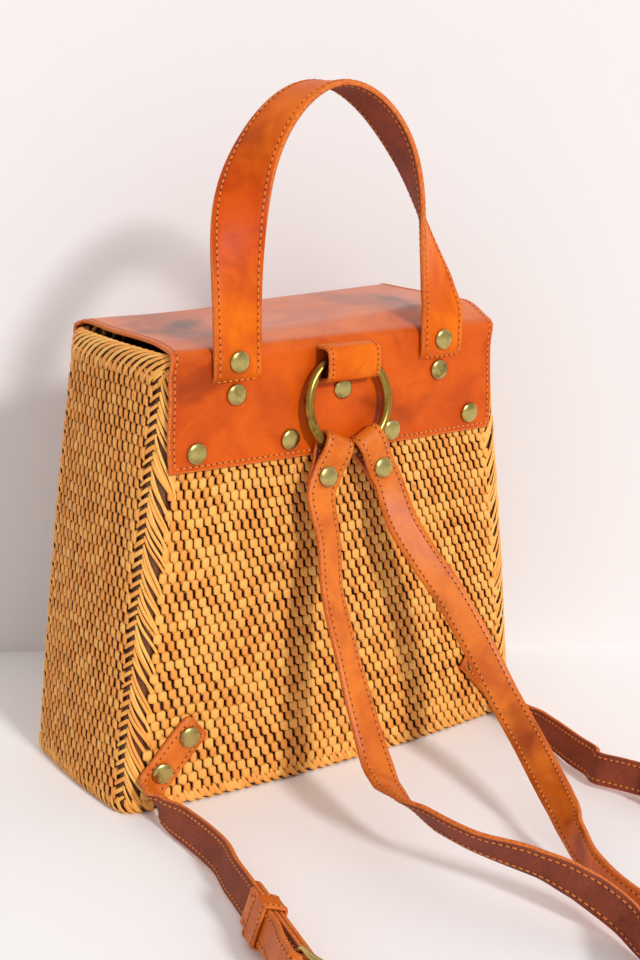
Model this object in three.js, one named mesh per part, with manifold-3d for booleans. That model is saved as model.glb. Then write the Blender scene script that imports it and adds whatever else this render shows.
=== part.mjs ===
// Straw backpack: a tapered cane basket with a riveted leather lid, a top handle, a brass ring
// and two shoulder straps. Millimetres, +Z up, origin at the centre of the base on the ground.
// -Y is the wearer's side, which carries the ring and the straps.

import * as THREE from 'three';
import { mergeVertices } from 'three/addons/utils/BufferGeometryUtils.js';
import Module from 'manifold-3d';

const wasm = await Module();
wasm.setup();

// Basket
const BASKET_HEIGHT = 240;
const BASE_WIDTH = 268;
const TOP_WIDTH = 208;
const BASKET_DEPTH = 110;
const CANE_WALL = 5;
const BASE_THICKNESS = 5;
const EDGE_SWELL = 2; // how far the sloping edges swell at mid height
const FACE_BOW = 9; // how far front and back bow out at the ground
const SIDE_BOW = 3; // how far the sides bow out
const CORNER_RADIUS = 10;
const BINDING_PROUD = 0.8;
const RIM_HEIGHT = 8;
const RIM_INWARD = 2;

// Clearances
const GAP = 0.3; // between pieces that touch on the real bag
const RIVET_SEAT_GAP = 0.4;

// Leather cover
const HIDE = 2.2;
const COVER_SEAT = BINDING_PROUD + GAP; // hide to nominal cane face
const COVER_X = -1.5; // the cover sits a little to one side
const YOKE_WIDTH = 208;
const YOKE_DROP = 59; // drops are measured down from the basket's top
const YOKE_BOTTOM = BASKET_HEIGHT - YOKE_DROP;
const LID_X = 2;
const LID_WIDTH = 205;
const LID_LIFT = 2.5; // the lid stands off the rim between its two bends
const LID_CURL = 6; // and curls up towards +X
const FLAP_DROP = 62;
const FLAP_BOTTOM = BASKET_HEIGHT - FLAP_DROP;
const FLAP_CORNER_RADIUS = 22;

// Handle
const HANDLE_WIDTH = 28;
const HANDLE_THICKNESS = 3;
const HANDLE_CENTRE_X = 65.3;
const HANDLE_TAIL_DROP = 27.5;
const HANDLE_TAIL_END = BASKET_HEIGHT - HANDLE_TAIL_DROP;
const HANDLE_SLIT_DROP = 14.6;
const HANDLE_SLIT_Z = BASKET_HEIGHT - HANDLE_SLIT_DROP;
const HANDLE_SLIT_HEIGHT = 5.6;
const HANDLE_FOLD_RISE = 5;
const HANDLE_FOLD_Z = BASKET_HEIGHT + HANDLE_FOLD_RISE;

// Ring hardware
const RING_RADIUS = 25.3; // to the middle of the wire
const RING_WIRE = 5.5; // wire diameter
const RING_X = -1.5;
const RING_AXIS_Y = -62;
const RING_DROP = 7;
const RING_TOP_Z = BASKET_HEIGHT - RING_DROP;
const RING_TILT = 7.3; // degrees, the lower side away from the basket
const TAB_WIDTH = 33;
const TAB_LOW_DROP = 18.5;
const TAB_LOW_Z = BASKET_HEIGHT - TAB_LOW_DROP;
const TAB_HIGH_DROP = 1.6;
const TAB_HIGH_Z = BASKET_HEIGHT - TAB_HIGH_DROP;
const TAB_FRONT_Y = -70.2;
const TAB_TAIL_DROP = 32;
const TAB_TAIL_END = BASKET_HEIGHT - TAB_TAIL_DROP;

// Shoulder straps
const STRAP_WIDTH = 17.6;
const STRAP_THICKNESS = 2.6;
const LOOP_ANGLE = 26; // degrees round the ring from its lowest point
const LOOP_BORE = 6.6; // width of the tunnel round the wire
const LOOP_LENGTH = 24; // from the wire's middle to the end of the doubled strap
const LOOP_RIVET_DROP = 15.5;

// Strap hardware
const BUCKLE_WIRE = 3;
const BUCKLE_REACH = 20; // heel bar to front bar
const PRONG_WIDTH = 2.4;
const PRONG_THICKNESS = 2.2;
const KEEPER_WIDTH = 14;
const KEEPER_THICKNESS = 1.5;
const KEEPER_FROM_BUCKLE = 44;
const KEEPER_SLIDE = 8; // the keeper can be pushed this far each way
const TONGUE_REACH = 30;
const TONGUE_HOLE_PITCH = 18;
const TONGUE_HOLE_RADIUS = 1.6;
const TONGUE_HOLES = 4;
const TONGUE_POINT = 3; // what is left past the last pitch
const TONGUE_OVERLAP = TONGUE_HOLES * TONGUE_HOLE_PITCH + TONGUE_POINT;
const BUCKLE_END_LENGTH = 66;
const FOLD_RETURN = 61; // the strap's end folds back through the keeper

// Rivets
const CAP_RADIUS = 5.7;
const CAP_HEIGHT = 2;
const SHANK_RADIUS = 2;
const RIVET_HOLE_RADIUS = 2.3;
const INNER_CAP_RADIUS = 4.5;
const INNER_CAP_HEIGHT = 1.2;
const YOKE_RIVETS = [[-88.9, 49.4], [-33.3, 48.8], [32.3, 51.6], [87.9, 48.6]]
  .map(([x, drop]) => [x, BASKET_HEIGHT - drop]);
const HANDLE_RIVET_HIGH_DROP = 4.4;
const HANDLE_RIVET_HIGH_Z = BASKET_HEIGHT - HANDLE_RIVET_HIGH_DROP;
const HANDLE_RIVET_LOW_DROP = 21.7;
const HANDLE_RIVET_LOW_Z = BASKET_HEIGHT - HANDLE_RIVET_LOW_DROP;
const TAB_RIVET_DROP = 25.4;
const TAB_RIVET_Z = BASKET_HEIGHT - TAB_RIVET_DROP;
const SNAP_DROP = 48;
const SNAP_Z = BASKET_HEIGHT - SNAP_DROP;
const SNAP_RADIUS = 6.5;
const SNAP_PLATE = 0.8;

const HALF_DEPTH = BASKET_DEPTH / 2;
const COVER_FACE = COVER_SEAT + HIDE; // nominal cane face to the hide's outer face
const HINGE_Z = BASKET_HEIGHT + GAP + HIDE / 2;
const HINGE_Y = HALF_DEPTH + COVER_SEAT + HIDE / 2;
const COVER_TOP = HINGE_Z - HIDE / 2 - GAP;

// Colours, roughness and metalness
const CANE = new THREE.MeshStandardMaterial({ color: 0xd9a052, roughness: 0.6, metalness: 0 });
const SADDLE = new THREE.MeshStandardMaterial({ color: 0xc4541a, roughness: 0.45, metalness: 0 });
const TAN = new THREE.MeshStandardMaterial({ color: 0xdf6f1d, roughness: 0.45, metalness: 0 });
const BRASS = new THREE.MeshStandardMaterial({ color: 0xb5a263, roughness: 0.3, metalness: 1 });

const bag = new THREE.Group();

// Small helpers

const vec = (x, y, z) => new THREE.Vector3(x, y, z);
const radians = THREE.MathUtils.degToRad;
const mix = THREE.MathUtils.lerp;

function geometryOf(points, triangles) {
  const geometry = new THREE.BufferGeometry();
  geometry.setAttribute('position', new THREE.Float32BufferAttribute(points.flat(), 3));
  geometry.setIndex(triangles.flat());
  return geometry;
}

function signedVolume(geometry) {
  const p = geometry.attributes.position;
  const index = geometry.index;
  const [a, b, c] = [vec(), vec(), vec()];
  let sum = 0;
  for (let i = 0; i < index.count; i += 3) {
    a.fromBufferAttribute(p, index.getX(i));
    b.fromBufferAttribute(p, index.getX(i + 1));
    c.fromBufferAttribute(p, index.getX(i + 2));
    sum += a.dot(b.cross(c)) / 6;
  }
  return sum;
}

// Merges shared corners, drops the empty triangles at poles and turns all faces outwards.
function closed(source) {
  let geometry = source.clone();
  geometry.deleteAttribute('normal');
  geometry.deleteAttribute('uv');
  geometry.clearGroups();
  geometry = mergeVertices(geometry, 1e-4);
  const old = geometry.index.array;
  const kept = [];
  for (let i = 0; i < old.length; i += 3) {
    const [a, b, c] = [old[i], old[i + 1], old[i + 2]];
    if (a !== b && b !== c && c !== a) kept.push(a, b, c);
  }
  geometry.setIndex(kept);
  if (signedVolume(geometry) < 0) {
    for (let i = 0; i < kept.length; i += 3) [kept[i + 1], kept[i + 2]] = [kept[i + 2], kept[i + 1]];
    geometry.setIndex(kept);
  }
  return geometry;
}

function toManifold(source) {
  const geometry = closed(source);
  return new wasm.Manifold(new wasm.Mesh({
    numProp: 3,
    vertProperties: new Float32Array(geometry.attributes.position.array),
    triVerts: new Uint32Array(geometry.index.array),
  }));
}

function fromManifold(body) {
  const mesh = body.getMesh();
  const geometry = new THREE.BufferGeometry();
  geometry.setAttribute('position', new THREE.BufferAttribute(mesh.vertProperties, 3));
  geometry.setIndex(Array.from(mesh.triVerts));
  return geometry;
}

function cut(geometry, tools) {
  let body = toManifold(geometry);
  for (const tool of tools) body = body.subtract(toManifold(tool));
  return fromManifold(body);
}

function common(geometry, tool) {
  return fromManifold(toManifold(geometry).intersect(toManifold(tool)));
}

function joined(first, second) {
  return fromManifold(toManifold(first).add(toManifold(second)));
}

function add(parent, name, geometry, material) {
  const own = material.clone();
  const mesh = new THREE.Mesh(closed(geometry), own);
  mesh.name = name;
  parent.add(mesh);
  return mesh;
}

function boxBetween(low, high) {
  const size = high.clone().sub(low);
  const middle = high.clone().add(low).multiplyScalar(0.5);
  return new THREE.BoxGeometry(size.x, size.y, size.z).translate(middle.x, middle.y, middle.z);
}

// A closed sheet between two faces, each a function of u and v from 0 to 1.
function slab(across, up, outer, inner) {
  const points = [];
  for (const face of [outer, inner]) {
    for (let j = 0; j <= up; j += 1) {
      for (let i = 0; i <= across; i += 1) points.push(face(i / across, j / up).toArray());
    }
  }
  const row = across + 1;
  const layer = row * (up + 1);
  const triangles = [];
  const quad = (a, b, c, d) => triangles.push([a, b, c], [a, c, d]);
  for (let j = 0; j < up; j += 1) {
    for (let i = 0; i < across; i += 1) {
      const a = j * row + i;
      quad(a, a + 1, a + row + 1, a + row);
      quad(layer + a, layer + a + row, layer + a + row + 1, layer + a + 1);
    }
  }
  const rim = [];
  for (let i = 0; i < across; i += 1) rim.push(i);
  for (let j = 0; j < up; j += 1) rim.push(j * row + across);
  for (let i = across; i > 0; i -= 1) rim.push(up * row + i);
  for (let j = up; j > 0; j -= 1) rim.push(j * row);
  rim.forEach((a, k) => {
    const b = rim[(k + 1) % rim.length];
    quad(a, layer + a, layer + b, b);
  });
  return geometryOf(points, triangles);
}

// A closed body through rings of places, each ring flat enough to be capped.
function lofted(rings) {
  const count = rings[0].length;
  const triangles = [];
  for (let k = 0; k < rings.length - 1; k += 1) {
    for (let i = 0; i < count; i += 1) {
      const a = k * count + i;
      const b = k * count + ((i + 1) % count);
      triangles.push([a, b, b + count], [a, b + count, a + count]);
    }
  }
  const normal = rings[1][0].clone().sub(rings[0][0]).normalize();
  const turn = new THREE.Quaternion().setFromUnitVectors(normal, vec(0, 0, 1));
  const last = (rings.length - 1) * count;
  const level = rings[0].map((p) => p.clone().applyQuaternion(turn));
  const outline = level.map((p) => new THREE.Vector2(p.x, p.y));
  for (const [a, b, c] of THREE.ShapeUtils.triangulateShape(outline, [])) {
    triangles.push([a, c, b], [last + a, last + b, last + c]);
  }
  return geometryOf(rings.flat().map((p) => p.toArray()), triangles);
}

// A flat strap along stations of a place and the direction across the strap's face.
function ribbon(stations, width, thickness, steps) {
  const route = new THREE.CatmullRomCurve3(stations.map((s) => s.place), false, 'centripetal');
  route.arcLengthDivisions = stations.length * 40;
  const points = [];
  for (let k = 0; k <= steps; k += 1) {
    const t = route.getUtoTmapping(k / steps);
    const place = route.getPoint(t);
    const along = route.getTangent(t).normalize();
    const across = acrossAt(stations, t);
    across.addScaledVector(along, -across.dot(along)).normalize();
    const face = along.clone().cross(across);
    for (const [a, b] of [[-1, -1], [1, -1], [1, 1], [-1, 1]]) {
      const corner = place.clone().addScaledVector(across, a * width / 2);
      points.push(corner.addScaledVector(face, b * thickness / 2).toArray());
    }
  }
  const triangles = [[0, 1, 2], [0, 2, 3]];
  for (let k = 0; k < steps; k += 1) {
    for (let i = 0; i < 4; i += 1) {
      const a = 4 * k + i;
      const b = 4 * k + ((i + 1) % 4);
      triangles.push([a, a + 4, b + 4], [a, b + 4, b]);
    }
  }
  const last = 4 * steps;
  triangles.push([last, last + 2, last + 1], [last, last + 3, last + 2]);
  return geometryOf(points, triangles);
}

// The direction across the strap, turned smoothly from one station to the next.
function acrossAt(stations, t) {
  const span = t * (stations.length - 1);
  const k = Math.min(Math.floor(span), stations.length - 2);
  return stations[k].across.clone().lerp(stations[k + 1].across, THREE.MathUtils.smoothstep(span - k, 0, 1));
}

// The outline of a strip of one thickness along a bent centre line, as a Shape.
function strip(line, thickness) {
  const left = [];
  const right = [];
  line.forEach((point, k) => {
    const before = line[Math.max(k - 1, 0)];
    const after = line[Math.min(k + 1, line.length - 1)];
    const inward = point.clone().sub(before);
    const outward = after.clone().sub(point);
    if (k === 0) inward.copy(outward);
    if (k === line.length - 1) outward.copy(inward);
    inward.normalize();
    outward.normalize();
    const middle = inward.clone().add(outward).normalize();
    const stretch = thickness / 2 / Math.max(middle.dot(inward), 0.5);
    left.push(new THREE.Vector2(point.x - middle.y * stretch, point.y + middle.x * stretch));
    right.push(new THREE.Vector2(point.x + middle.y * stretch, point.y - middle.x * stretch));
  });
  return new THREE.Shape([...left, ...right.reverse()]);
}

const flat = (pairs) => pairs.map(([x, y]) => new THREE.Vector2(x, y));

function extruded(shape, depth, curveSegments = 6) {
  return new THREE.ExtrudeGeometry(shape, { depth, bevelEnabled: false, curveSegments, steps: 1 });
}

// Extrudes a profile drawn in (Y, Z) along X, centred on x.
function acrossX(shape, width, x) {
  const toWorld = new THREE.Matrix4().makeBasis(vec(0, 1, 0), vec(0, 0, 1), vec(1, 0, 0));
  return extruded(shape, width).translate(0, 0, -width / 2).applyMatrix4(toWorld).translate(x, 0, 0);
}

function roundedRectangle(halfX, halfY, radius) {
  const shape = new THREE.Shape();
  shape.moveTo(halfX, -halfY + radius);
  shape.absarc(halfX - radius, halfY - radius, radius, 0, Math.PI / 2, false);
  shape.absarc(-halfX + radius, halfY - radius, radius, Math.PI / 2, Math.PI, false);
  shape.absarc(-halfX + radius, -halfY + radius, radius, Math.PI, 1.5 * Math.PI, false);
  shape.absarc(halfX - radius, -halfY + radius, radius, 1.5 * Math.PI, 2 * Math.PI, false);
  return shape;
}

// The basket's own form: every height has a half width and faces that bow out.

function halfWidth(z) {
  const s = z / BASKET_HEIGHT;
  return mix(BASE_WIDTH, TOP_WIDTH, s) / 2 + EDGE_SWELL * 4 * s * (1 - s);
}

function faceOut(x, z) {
  const bow = FACE_BOW * Math.max(1 - z / BASKET_HEIGHT, 0);
  return HALF_DEPTH + bow * (1 - (x / halfWidth(z)) ** 2);
}

function sideOut(y, z) {
  return halfWidth(z) + SIDE_BOW * (1 - (y / HALF_DEPTH) ** 2);
}

const flatHalfWidth = (z) => halfWidth(z) - CORNER_RADIUS - GAP;
const flatHalfDepth = HALF_DEPTH - CORNER_RADIUS - GAP;
const backPlace = (x, z, off) => vec(x, -faceOut(x, z) - off, z);
const offBack = (x, z, off) => backPlace(x, z, 0).addScaledVector(backNormal(x, z), off);

function backNormal(x, z) {
  const step = 0.5;
  const slopeX = (faceOut(x + step, z) - faceOut(x - step, z)) / (2 * step);
  const slopeZ = (faceOut(x, z + step) - faceOut(x, z - step)) / (2 * step);
  return vec(-slopeX, -1, -slopeZ).normalize();
}

// Rivets: a domed cap, a shank through what it holds and a small cap inside.

function rivet(parent, name, seat, direction, grip) {
  const profile = flat([
    [0, CAP_HEIGHT],
    [0.55 * CAP_RADIUS, 0.9 * CAP_HEIGHT],
    [0.86 * CAP_RADIUS, 0.65 * CAP_HEIGHT],
    [CAP_RADIUS, 0.3 * CAP_HEIGHT],
    [CAP_RADIUS, 0],
    [SHANK_RADIUS, 0],
    [SHANK_RADIUS, -grip],
    [INNER_CAP_RADIUS, -grip],
    [INNER_CAP_RADIUS, -grip - INNER_CAP_HEIGHT],
    [0, -grip - INNER_CAP_HEIGHT],
  ]);
  const mesh = add(parent, name, new THREE.LatheGeometry(profile, 12), BRASS);
  mesh.position.copy(seat).addScaledVector(direction, RIVET_SEAT_GAP);
  mesh.quaternion.setFromUnitVectors(vec(0, 1, 0), direction);
  return mesh;
}

function rivetHole(seat, direction, reach) {
  const hole = new THREE.CylinderGeometry(RIVET_HOLE_RADIUS, RIVET_HOLE_RADIUS, 2 * reach, 10);
  const turn = new THREE.Quaternion().setFromUnitVectors(vec(0, 1, 0), direction);
  return hole.applyQuaternion(turn).translate(seat.x, seat.y, seat.z);
}

const OUT = vec(0, -1, 0);
const HOLE_REACH = 14;

function yokeRivetSites() {
  const sites = YOKE_RIVETS.map(([x, z], k) => ({
    name: `yoke_rivet_${k + 1}`,
    seat: backPlace(COVER_X + x, z, COVER_FACE),
    grip: COVER_FACE + CANE_WALL,
  }));
  sites.push({
    name: 'ring_tab_rivet',
    seat: backPlace(COVER_X, TAB_RIVET_Z, COVER_FACE),
    grip: COVER_FACE + CANE_WALL,
  });
  [['left', -1], ['right', 1]].forEach(([side, sign]) => {
    const x = COVER_X + sign * HANDLE_CENTRE_X;
    sites.push({
      name: `handle_${side}_low_rivet`,
      seat: backPlace(x, HANDLE_RIVET_LOW_Z, COVER_FACE),
      grip: COVER_FACE + CANE_WALL,
    });
    sites.push({
      name: `handle_${side}_high_rivet`,
      seat: vec(x, HANDLE_STRAP_Y - HANDLE_THICKNESS / 2, HANDLE_RIVET_HIGH_Z),
      grip: -HANDLE_STRAP_Y + HANDLE_THICKNESS / 2 - HALF_DEPTH + CANE_WALL + RIM_INWARD,
    });
  });
  return sites;
}

// The handle's ends lie on the yoke, go through its slits and end in tails behind it.
const HANDLE_STRAP_Y = -(HALF_DEPTH + COVER_FACE + 2 * GAP + HANDLE_THICKNESS / 2);
const TAIL_Y = -(HALF_DEPTH + COVER_SEAT - 0.2 - HANDLE_THICKNESS / 2);
const TAB_TAIL_Y = -(HALF_DEPTH + COVER_SEAT - 0.2 - HIDE / 2);

// Anchors: where the lower straps are riveted to the bottom corners.
const ANCHORS = {
  left: { tip: [-91.7, 45.1], rivets: [[-97.8, 40], [-113.5, 23]], leave: [-118.5, 17.3] },
  right: { tip: [88.9, 45.1], rivets: [[95, 40], [110.6, 23]], leave: [115.6, 17.3] },
};
const ANCHOR_OFF = COVER_SEAT + STRAP_THICKNESS / 2;

function anchorRivetSites() {
  return Object.entries(ANCHORS).flatMap(([side, anchor]) => anchor.rivets.map(([x, z], k) => ({
    name: `strap_${side}_anchor_rivet_${k + 1}`,
    seat: offBack(x, z, COVER_SEAT + STRAP_THICKNESS + GAP),
    direction: backNormal(x, z),
    grip: COVER_SEAT + STRAP_THICKNESS + GAP + CANE_WALL + 1,
  })));
}

// Basket pieces

function buildBasket() {
  const sites = [...yokeRivetSites(), ...anchorRivetSites()];
  const holes = sites.map((s) => rivetHole(s.seat, s.direction ?? OUT, HOLE_REACH));
  const panelTop = BASKET_HEIGHT - RIM_HEIGHT - GAP;

  const faceSlab = (sign, low, high, outward, thickness) => slab(
    12,
    high - low > RIM_HEIGHT + 1 ? 6 : 1,
    (u, v) => {
      const z = mix(low, high, v);
      const x = mix(-1, 1, u) * flatHalfWidth(z);
      return vec(x, sign * (faceOut(x, z) + outward), z);
    },
    (u, v) => {
      const z = mix(low, high, v);
      const x = mix(-1, 1, u) * flatHalfWidth(z);
      return vec(x, sign * (faceOut(x, z) + outward - thickness), z);
    },
  );
  const sideSlab = (sign, low, high, outward, thickness) => slab(
    6,
    high - low > RIM_HEIGHT + 1 ? 6 : 1,
    (u, v) => {
      const z = mix(low, high, v);
      const y = mix(-1, 1, u) * flatHalfDepth;
      return vec(sign * (sideOut(y, z) + outward), y, z);
    },
    (u, v) => {
      const z = mix(low, high, v);
      const y = mix(-1, 1, u) * flatHalfDepth;
      return vec(sign * (sideOut(y, z) + outward - thickness), y, z);
    },
  );

  // The tails of the handle and of the ring's tab lie in shallow pockets of the cane.
  const tailHalf = HANDLE_WIDTH / 2 + GAP;
  const tailBack = TAIL_Y + HANDLE_THICKNESS / 2 + GAP;
  const pockets = [-1, 1].map((sign) => COVER_X + sign * HANDLE_CENTRE_X).map((x) => boxBetween(
    vec(x - tailHalf, -2 * HALF_DEPTH, HANDLE_TAIL_END - GAP),
    vec(x + tailHalf, tailBack, HANDLE_SLIT_Z + 4),
  ));
  pockets.push(boxBetween(
    vec(COVER_X - TAB_WIDTH / 2 - GAP, -2 * HALF_DEPTH, TAB_TAIL_END - GAP),
    vec(COVER_X + TAB_WIDTH / 2 + GAP, TAB_TAIL_Y + HIDE / 2 + GAP, TAB_LOW_Z + HIDE),
  ));
  add(bag, 'back_panel', cut(faceSlab(-1, 0, panelTop, 0, CANE_WALL), [...holes, ...pockets]), CANE);

  const snapPocket = new THREE.CylinderGeometry(SNAP_RADIUS + GAP, SNAP_RADIUS + GAP, 6, 16);
  snapPocket.translate(LID_X, faceOut(LID_X, SNAP_Z) + 3 - SNAP_SOCKET_DEPTH - GAP, SNAP_Z);
  add(bag, 'front_panel', cut(faceSlab(1, 0, panelTop, 0, CANE_WALL), [snapPocket]), CANE);
  add(bag, 'left_panel', sideSlab(-1, 0, panelTop, 0, CANE_WALL), CANE);
  add(bag, 'right_panel', sideSlab(1, 0, panelTop, 0, CANE_WALL), CANE);

  const rimLow = BASKET_HEIGHT - RIM_HEIGHT;
  const rimDepth = CANE_WALL + RIM_INWARD;
  add(bag, 'rim_back', cut(faceSlab(-1, rimLow, BASKET_HEIGHT, 0, rimDepth), holes), CANE);
  add(bag, 'rim_front', faceSlab(1, rimLow, BASKET_HEIGHT, 0, rimDepth), CANE);
  add(bag, 'rim_left', sideSlab(-1, rimLow, BASKET_HEIGHT, BINDING_PROUD, rimDepth), CANE);
  add(bag, 'rim_right', sideSlab(1, rimLow, BASKET_HEIGHT, BINDING_PROUD, rimDepth), CANE);

  // Each corner binding is a quarter tube that leans with the basket's edge.
  const corners = { back_left: [-1, -1], back_right: [1, -1], front_left: [-1, 1], front_right: [1, 1] };
  Object.entries(corners).forEach(([name, [sx, sy]]) => {
    const place = (radius) => (u, v) => {
      const z = v * BASKET_HEIGHT;
      const angle = u * Math.PI / 2;
      const x = halfWidth(z) - CORNER_RADIUS + radius * Math.cos(angle);
      return vec(sx * x, sy * (HALF_DEPTH - CORNER_RADIUS + radius * Math.sin(angle)), z);
    };
    const binding = slab(6, 6, place(CORNER_RADIUS + BINDING_PROUD), place(CORNER_RADIUS - CANE_WALL));
    add(bag, `corner_binding_${name}`, binding, CANE);
  });

  // The base fills the foot of the walls and follows their bow.
  const x = halfWidth(BASE_THICKNESS) - CANE_WALL - GAP;
  const y = HALF_DEPTH - CANE_WALL - GAP;
  const round = CORNER_RADIUS - CANE_WALL;
  const base = new THREE.Shape();
  const bowFace = faceOut(0, BASE_THICKNESS) - HALF_DEPTH - 1;
  base.moveTo(x, -y + round);
  base.quadraticCurveTo(x + SIDE_BOW, 0, x, y - round);
  base.lineTo(x - round, y);
  base.quadraticCurveTo(0, y + 2 * bowFace, -x + round, y);
  base.lineTo(-x, y - round);
  base.quadraticCurveTo(-x - SIDE_BOW, 0, -x, -y + round);
  base.lineTo(-x + round, -y);
  base.quadraticCurveTo(0, -y - 2 * bowFace, x - round, -y);
  add(bag, 'base_panel', extruded(base, BASE_THICKNESS, 10), CANE);

  sites.forEach((s) => rivet(bag, s.name, s.seat, s.direction ?? OUT, s.grip + RIVET_SEAT_GAP + GAP));
}

// Leather cover: yoke down the back, lid over the top, flap down the front

const SNAP_SOCKET_DEPTH = 2.5;

function coverSheet(sign, middle, width, low) {
  const face = (off) => (u, v) => {
    const z = mix(low, COVER_TOP, v);
    const x = middle + mix(-0.5, 0.5, u) * width;
    return vec(x, sign * (faceOut(x, z) + off), z);
  };
  return slab(12, 4, face(COVER_FACE), face(COVER_SEAT));
}

function lidLift(x, y) {
  const along = (y + HINGE_Y) / (2 * HINGE_Y);
  const stand = THREE.MathUtils.smoothstep(along, 0, 0.22) * THREE.MathUtils.smoothstep(1 - along, 0, 0.12);
  return stand * (LID_LIFT + LID_CURL * THREE.MathUtils.smoothstep(x, -70, 110));
}

// The lid's outline at one x, as places round its edge.
function lidSection(x) {
  const half = HIDE / 2;
  const steps = 16;
  const places = [];
  for (let k = 0; k <= steps; k += 1) {
    const y = mix(-HINGE_Y, HINGE_Y, k / steps);
    places.push(vec(x, y, HINGE_Z - half + lidLift(x, y)));
  }
  for (let k = 1; k < 6; k += 1) {
    const angle = -Math.PI / 2 + k * Math.PI / 6;
    places.push(vec(x, HINGE_Y + half * Math.cos(angle), HINGE_Z + half * Math.sin(angle)));
  }
  for (let k = steps; k >= 0; k -= 1) {
    const y = mix(-HINGE_Y, HINGE_Y, k / steps);
    places.push(vec(x, y, HINGE_Z + half + lidLift(x, y)));
  }
  for (let k = 1; k < 6; k += 1) {
    const angle = Math.PI / 2 + k * Math.PI / 6;
    places.push(vec(x, -HINGE_Y + half * Math.cos(angle), HINGE_Z + half * Math.sin(angle)));
  }
  return places;
}

function buildCover() {
  const slitHalf = HANDLE_WIDTH / 2 + GAP;
  const slits = [-1, 1].map((sign) => boxBetween(
    vec(COVER_X + sign * HANDLE_CENTRE_X - slitHalf, -2 * HALF_DEPTH, HANDLE_SLIT_Z - HANDLE_SLIT_HEIGHT / 2),
    vec(COVER_X + sign * HANDLE_CENTRE_X + slitHalf, 0, HANDLE_SLIT_Z + HANDLE_SLIT_HEIGHT / 2),
  ));
  const tabSlit = (low, high) => boxBetween(
    vec(COVER_X - TAB_WIDTH / 2 - GAP, -2 * HALF_DEPTH, low),
    vec(COVER_X + TAB_WIDTH / 2 + GAP, 0, high),
  );
  slits.push(tabSlit(TAB_LOW_Z - HIDE / 2 - 2 * GAP, TAB_LOW_Z + HIDE / 2 + 2 * GAP));
  slits.push(tabSlit(TAB_HIGH_Z - HIDE / 2 - GAP, COVER_TOP + 1));
  const holes = yokeRivetSites().map((s) => rivetHole(s.seat, OUT, HOLE_REACH));
  add(bag, 'back_yoke', cut(coverSheet(-1, COVER_X, YOKE_WIDTH, YOKE_BOTTOM), [...slits, ...holes]), SADDLE);

  // The lid's long edges are rounded round the two bending lines.
  const lid = [];
  for (let k = 0; k <= 14; k += 1) {
    const x = LID_X + mix(-0.5, 0.5, k / 14) * LID_WIDTH;
    lid.push(lidSection(x));
  }
  add(bag, 'lid_top', lofted(lid), SADDLE);

  const height = COVER_TOP - FLAP_BOTTOM;
  const outline = roundedRectangle(LID_WIDTH / 2, height, FLAP_CORNER_RADIUS);
  const cutter = extruded(outline, 2 * HALF_DEPTH).rotateX(Math.PI / 2)
    .translate(LID_X, 2 * HALF_DEPTH, COVER_TOP);
  const snapSeat = vec(LID_X, faceOut(LID_X, SNAP_Z) + COVER_FACE, SNAP_Z);
  const flap = common(coverSheet(1, LID_X, LID_WIDTH, FLAP_BOTTOM), cutter);
  const stud = rivetHole(snapSeat, vec(0, 1, 0), HOLE_REACH / 2);
  add(bag, 'front_flap', cut(flap, [stud]), SADDLE);

  const socketFace = faceOut(LID_X, SNAP_Z) - GAP;
  const socket = new THREE.CylinderGeometry(SNAP_RADIUS, SNAP_RADIUS, SNAP_SOCKET_DEPTH - GAP, 16);
  socket.translate(LID_X, socketFace - (SNAP_SOCKET_DEPTH - GAP) / 2, SNAP_Z);
  add(bag, 'snap_socket', socket, BRASS);

  const inner = COVER_SEAT - GAP - SNAP_PLATE;
  const profile = flat([
    [0, COVER_FACE + RIVET_SEAT_GAP + CAP_HEIGHT],
    [0.6 * SNAP_RADIUS, COVER_FACE + RIVET_SEAT_GAP + 0.8 * CAP_HEIGHT],
    [SNAP_RADIUS, COVER_FACE + RIVET_SEAT_GAP + 0.3 * CAP_HEIGHT],
    [SNAP_RADIUS, COVER_FACE + RIVET_SEAT_GAP],
    [SHANK_RADIUS, COVER_FACE + RIVET_SEAT_GAP],
    [SHANK_RADIUS, inner + SNAP_PLATE],
    [SNAP_RADIUS - 1, inner + SNAP_PLATE],
    [SNAP_RADIUS - 1, inner],
    [0, inner],
  ]);
  const snap = add(bag, 'snap_stud', new THREE.LatheGeometry(profile, 16), BRASS);
  snap.position.set(LID_X, faceOut(LID_X, SNAP_Z), SNAP_Z);
}

// Handle: an arch whose face looks back at the feet, outwards on the legs and up at the top.
// Each station is a place, its height taken from the feet, and the heading of the strap's width
// in degrees from +X.
const HANDLE_ROUTE = [
  [-66.8, -60.1, 5, 180],
  [-66.4, -59.2, 19, 179],
  [-65.4, -57.4, 36, 175],
  [-62.8, -54, 55, 160],
  [-56.6, -49.4, 75, 134],
  [-45.8, -46.6, 96, 114],
  [-27.2, -47.4, 118.6, 102],
  [-6.2, -51.4, 128.4, 98],
  [12.5, -56.6, 119.6, 101],
  [29, -59.8, 101, 93],
  [43, -60.8, 72, 68],
  [51.6, -60.2, 42, 39],
  [60.6, -59.8, 18, 14],
  [63.8, -60.1, 5, 0],
];

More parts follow.
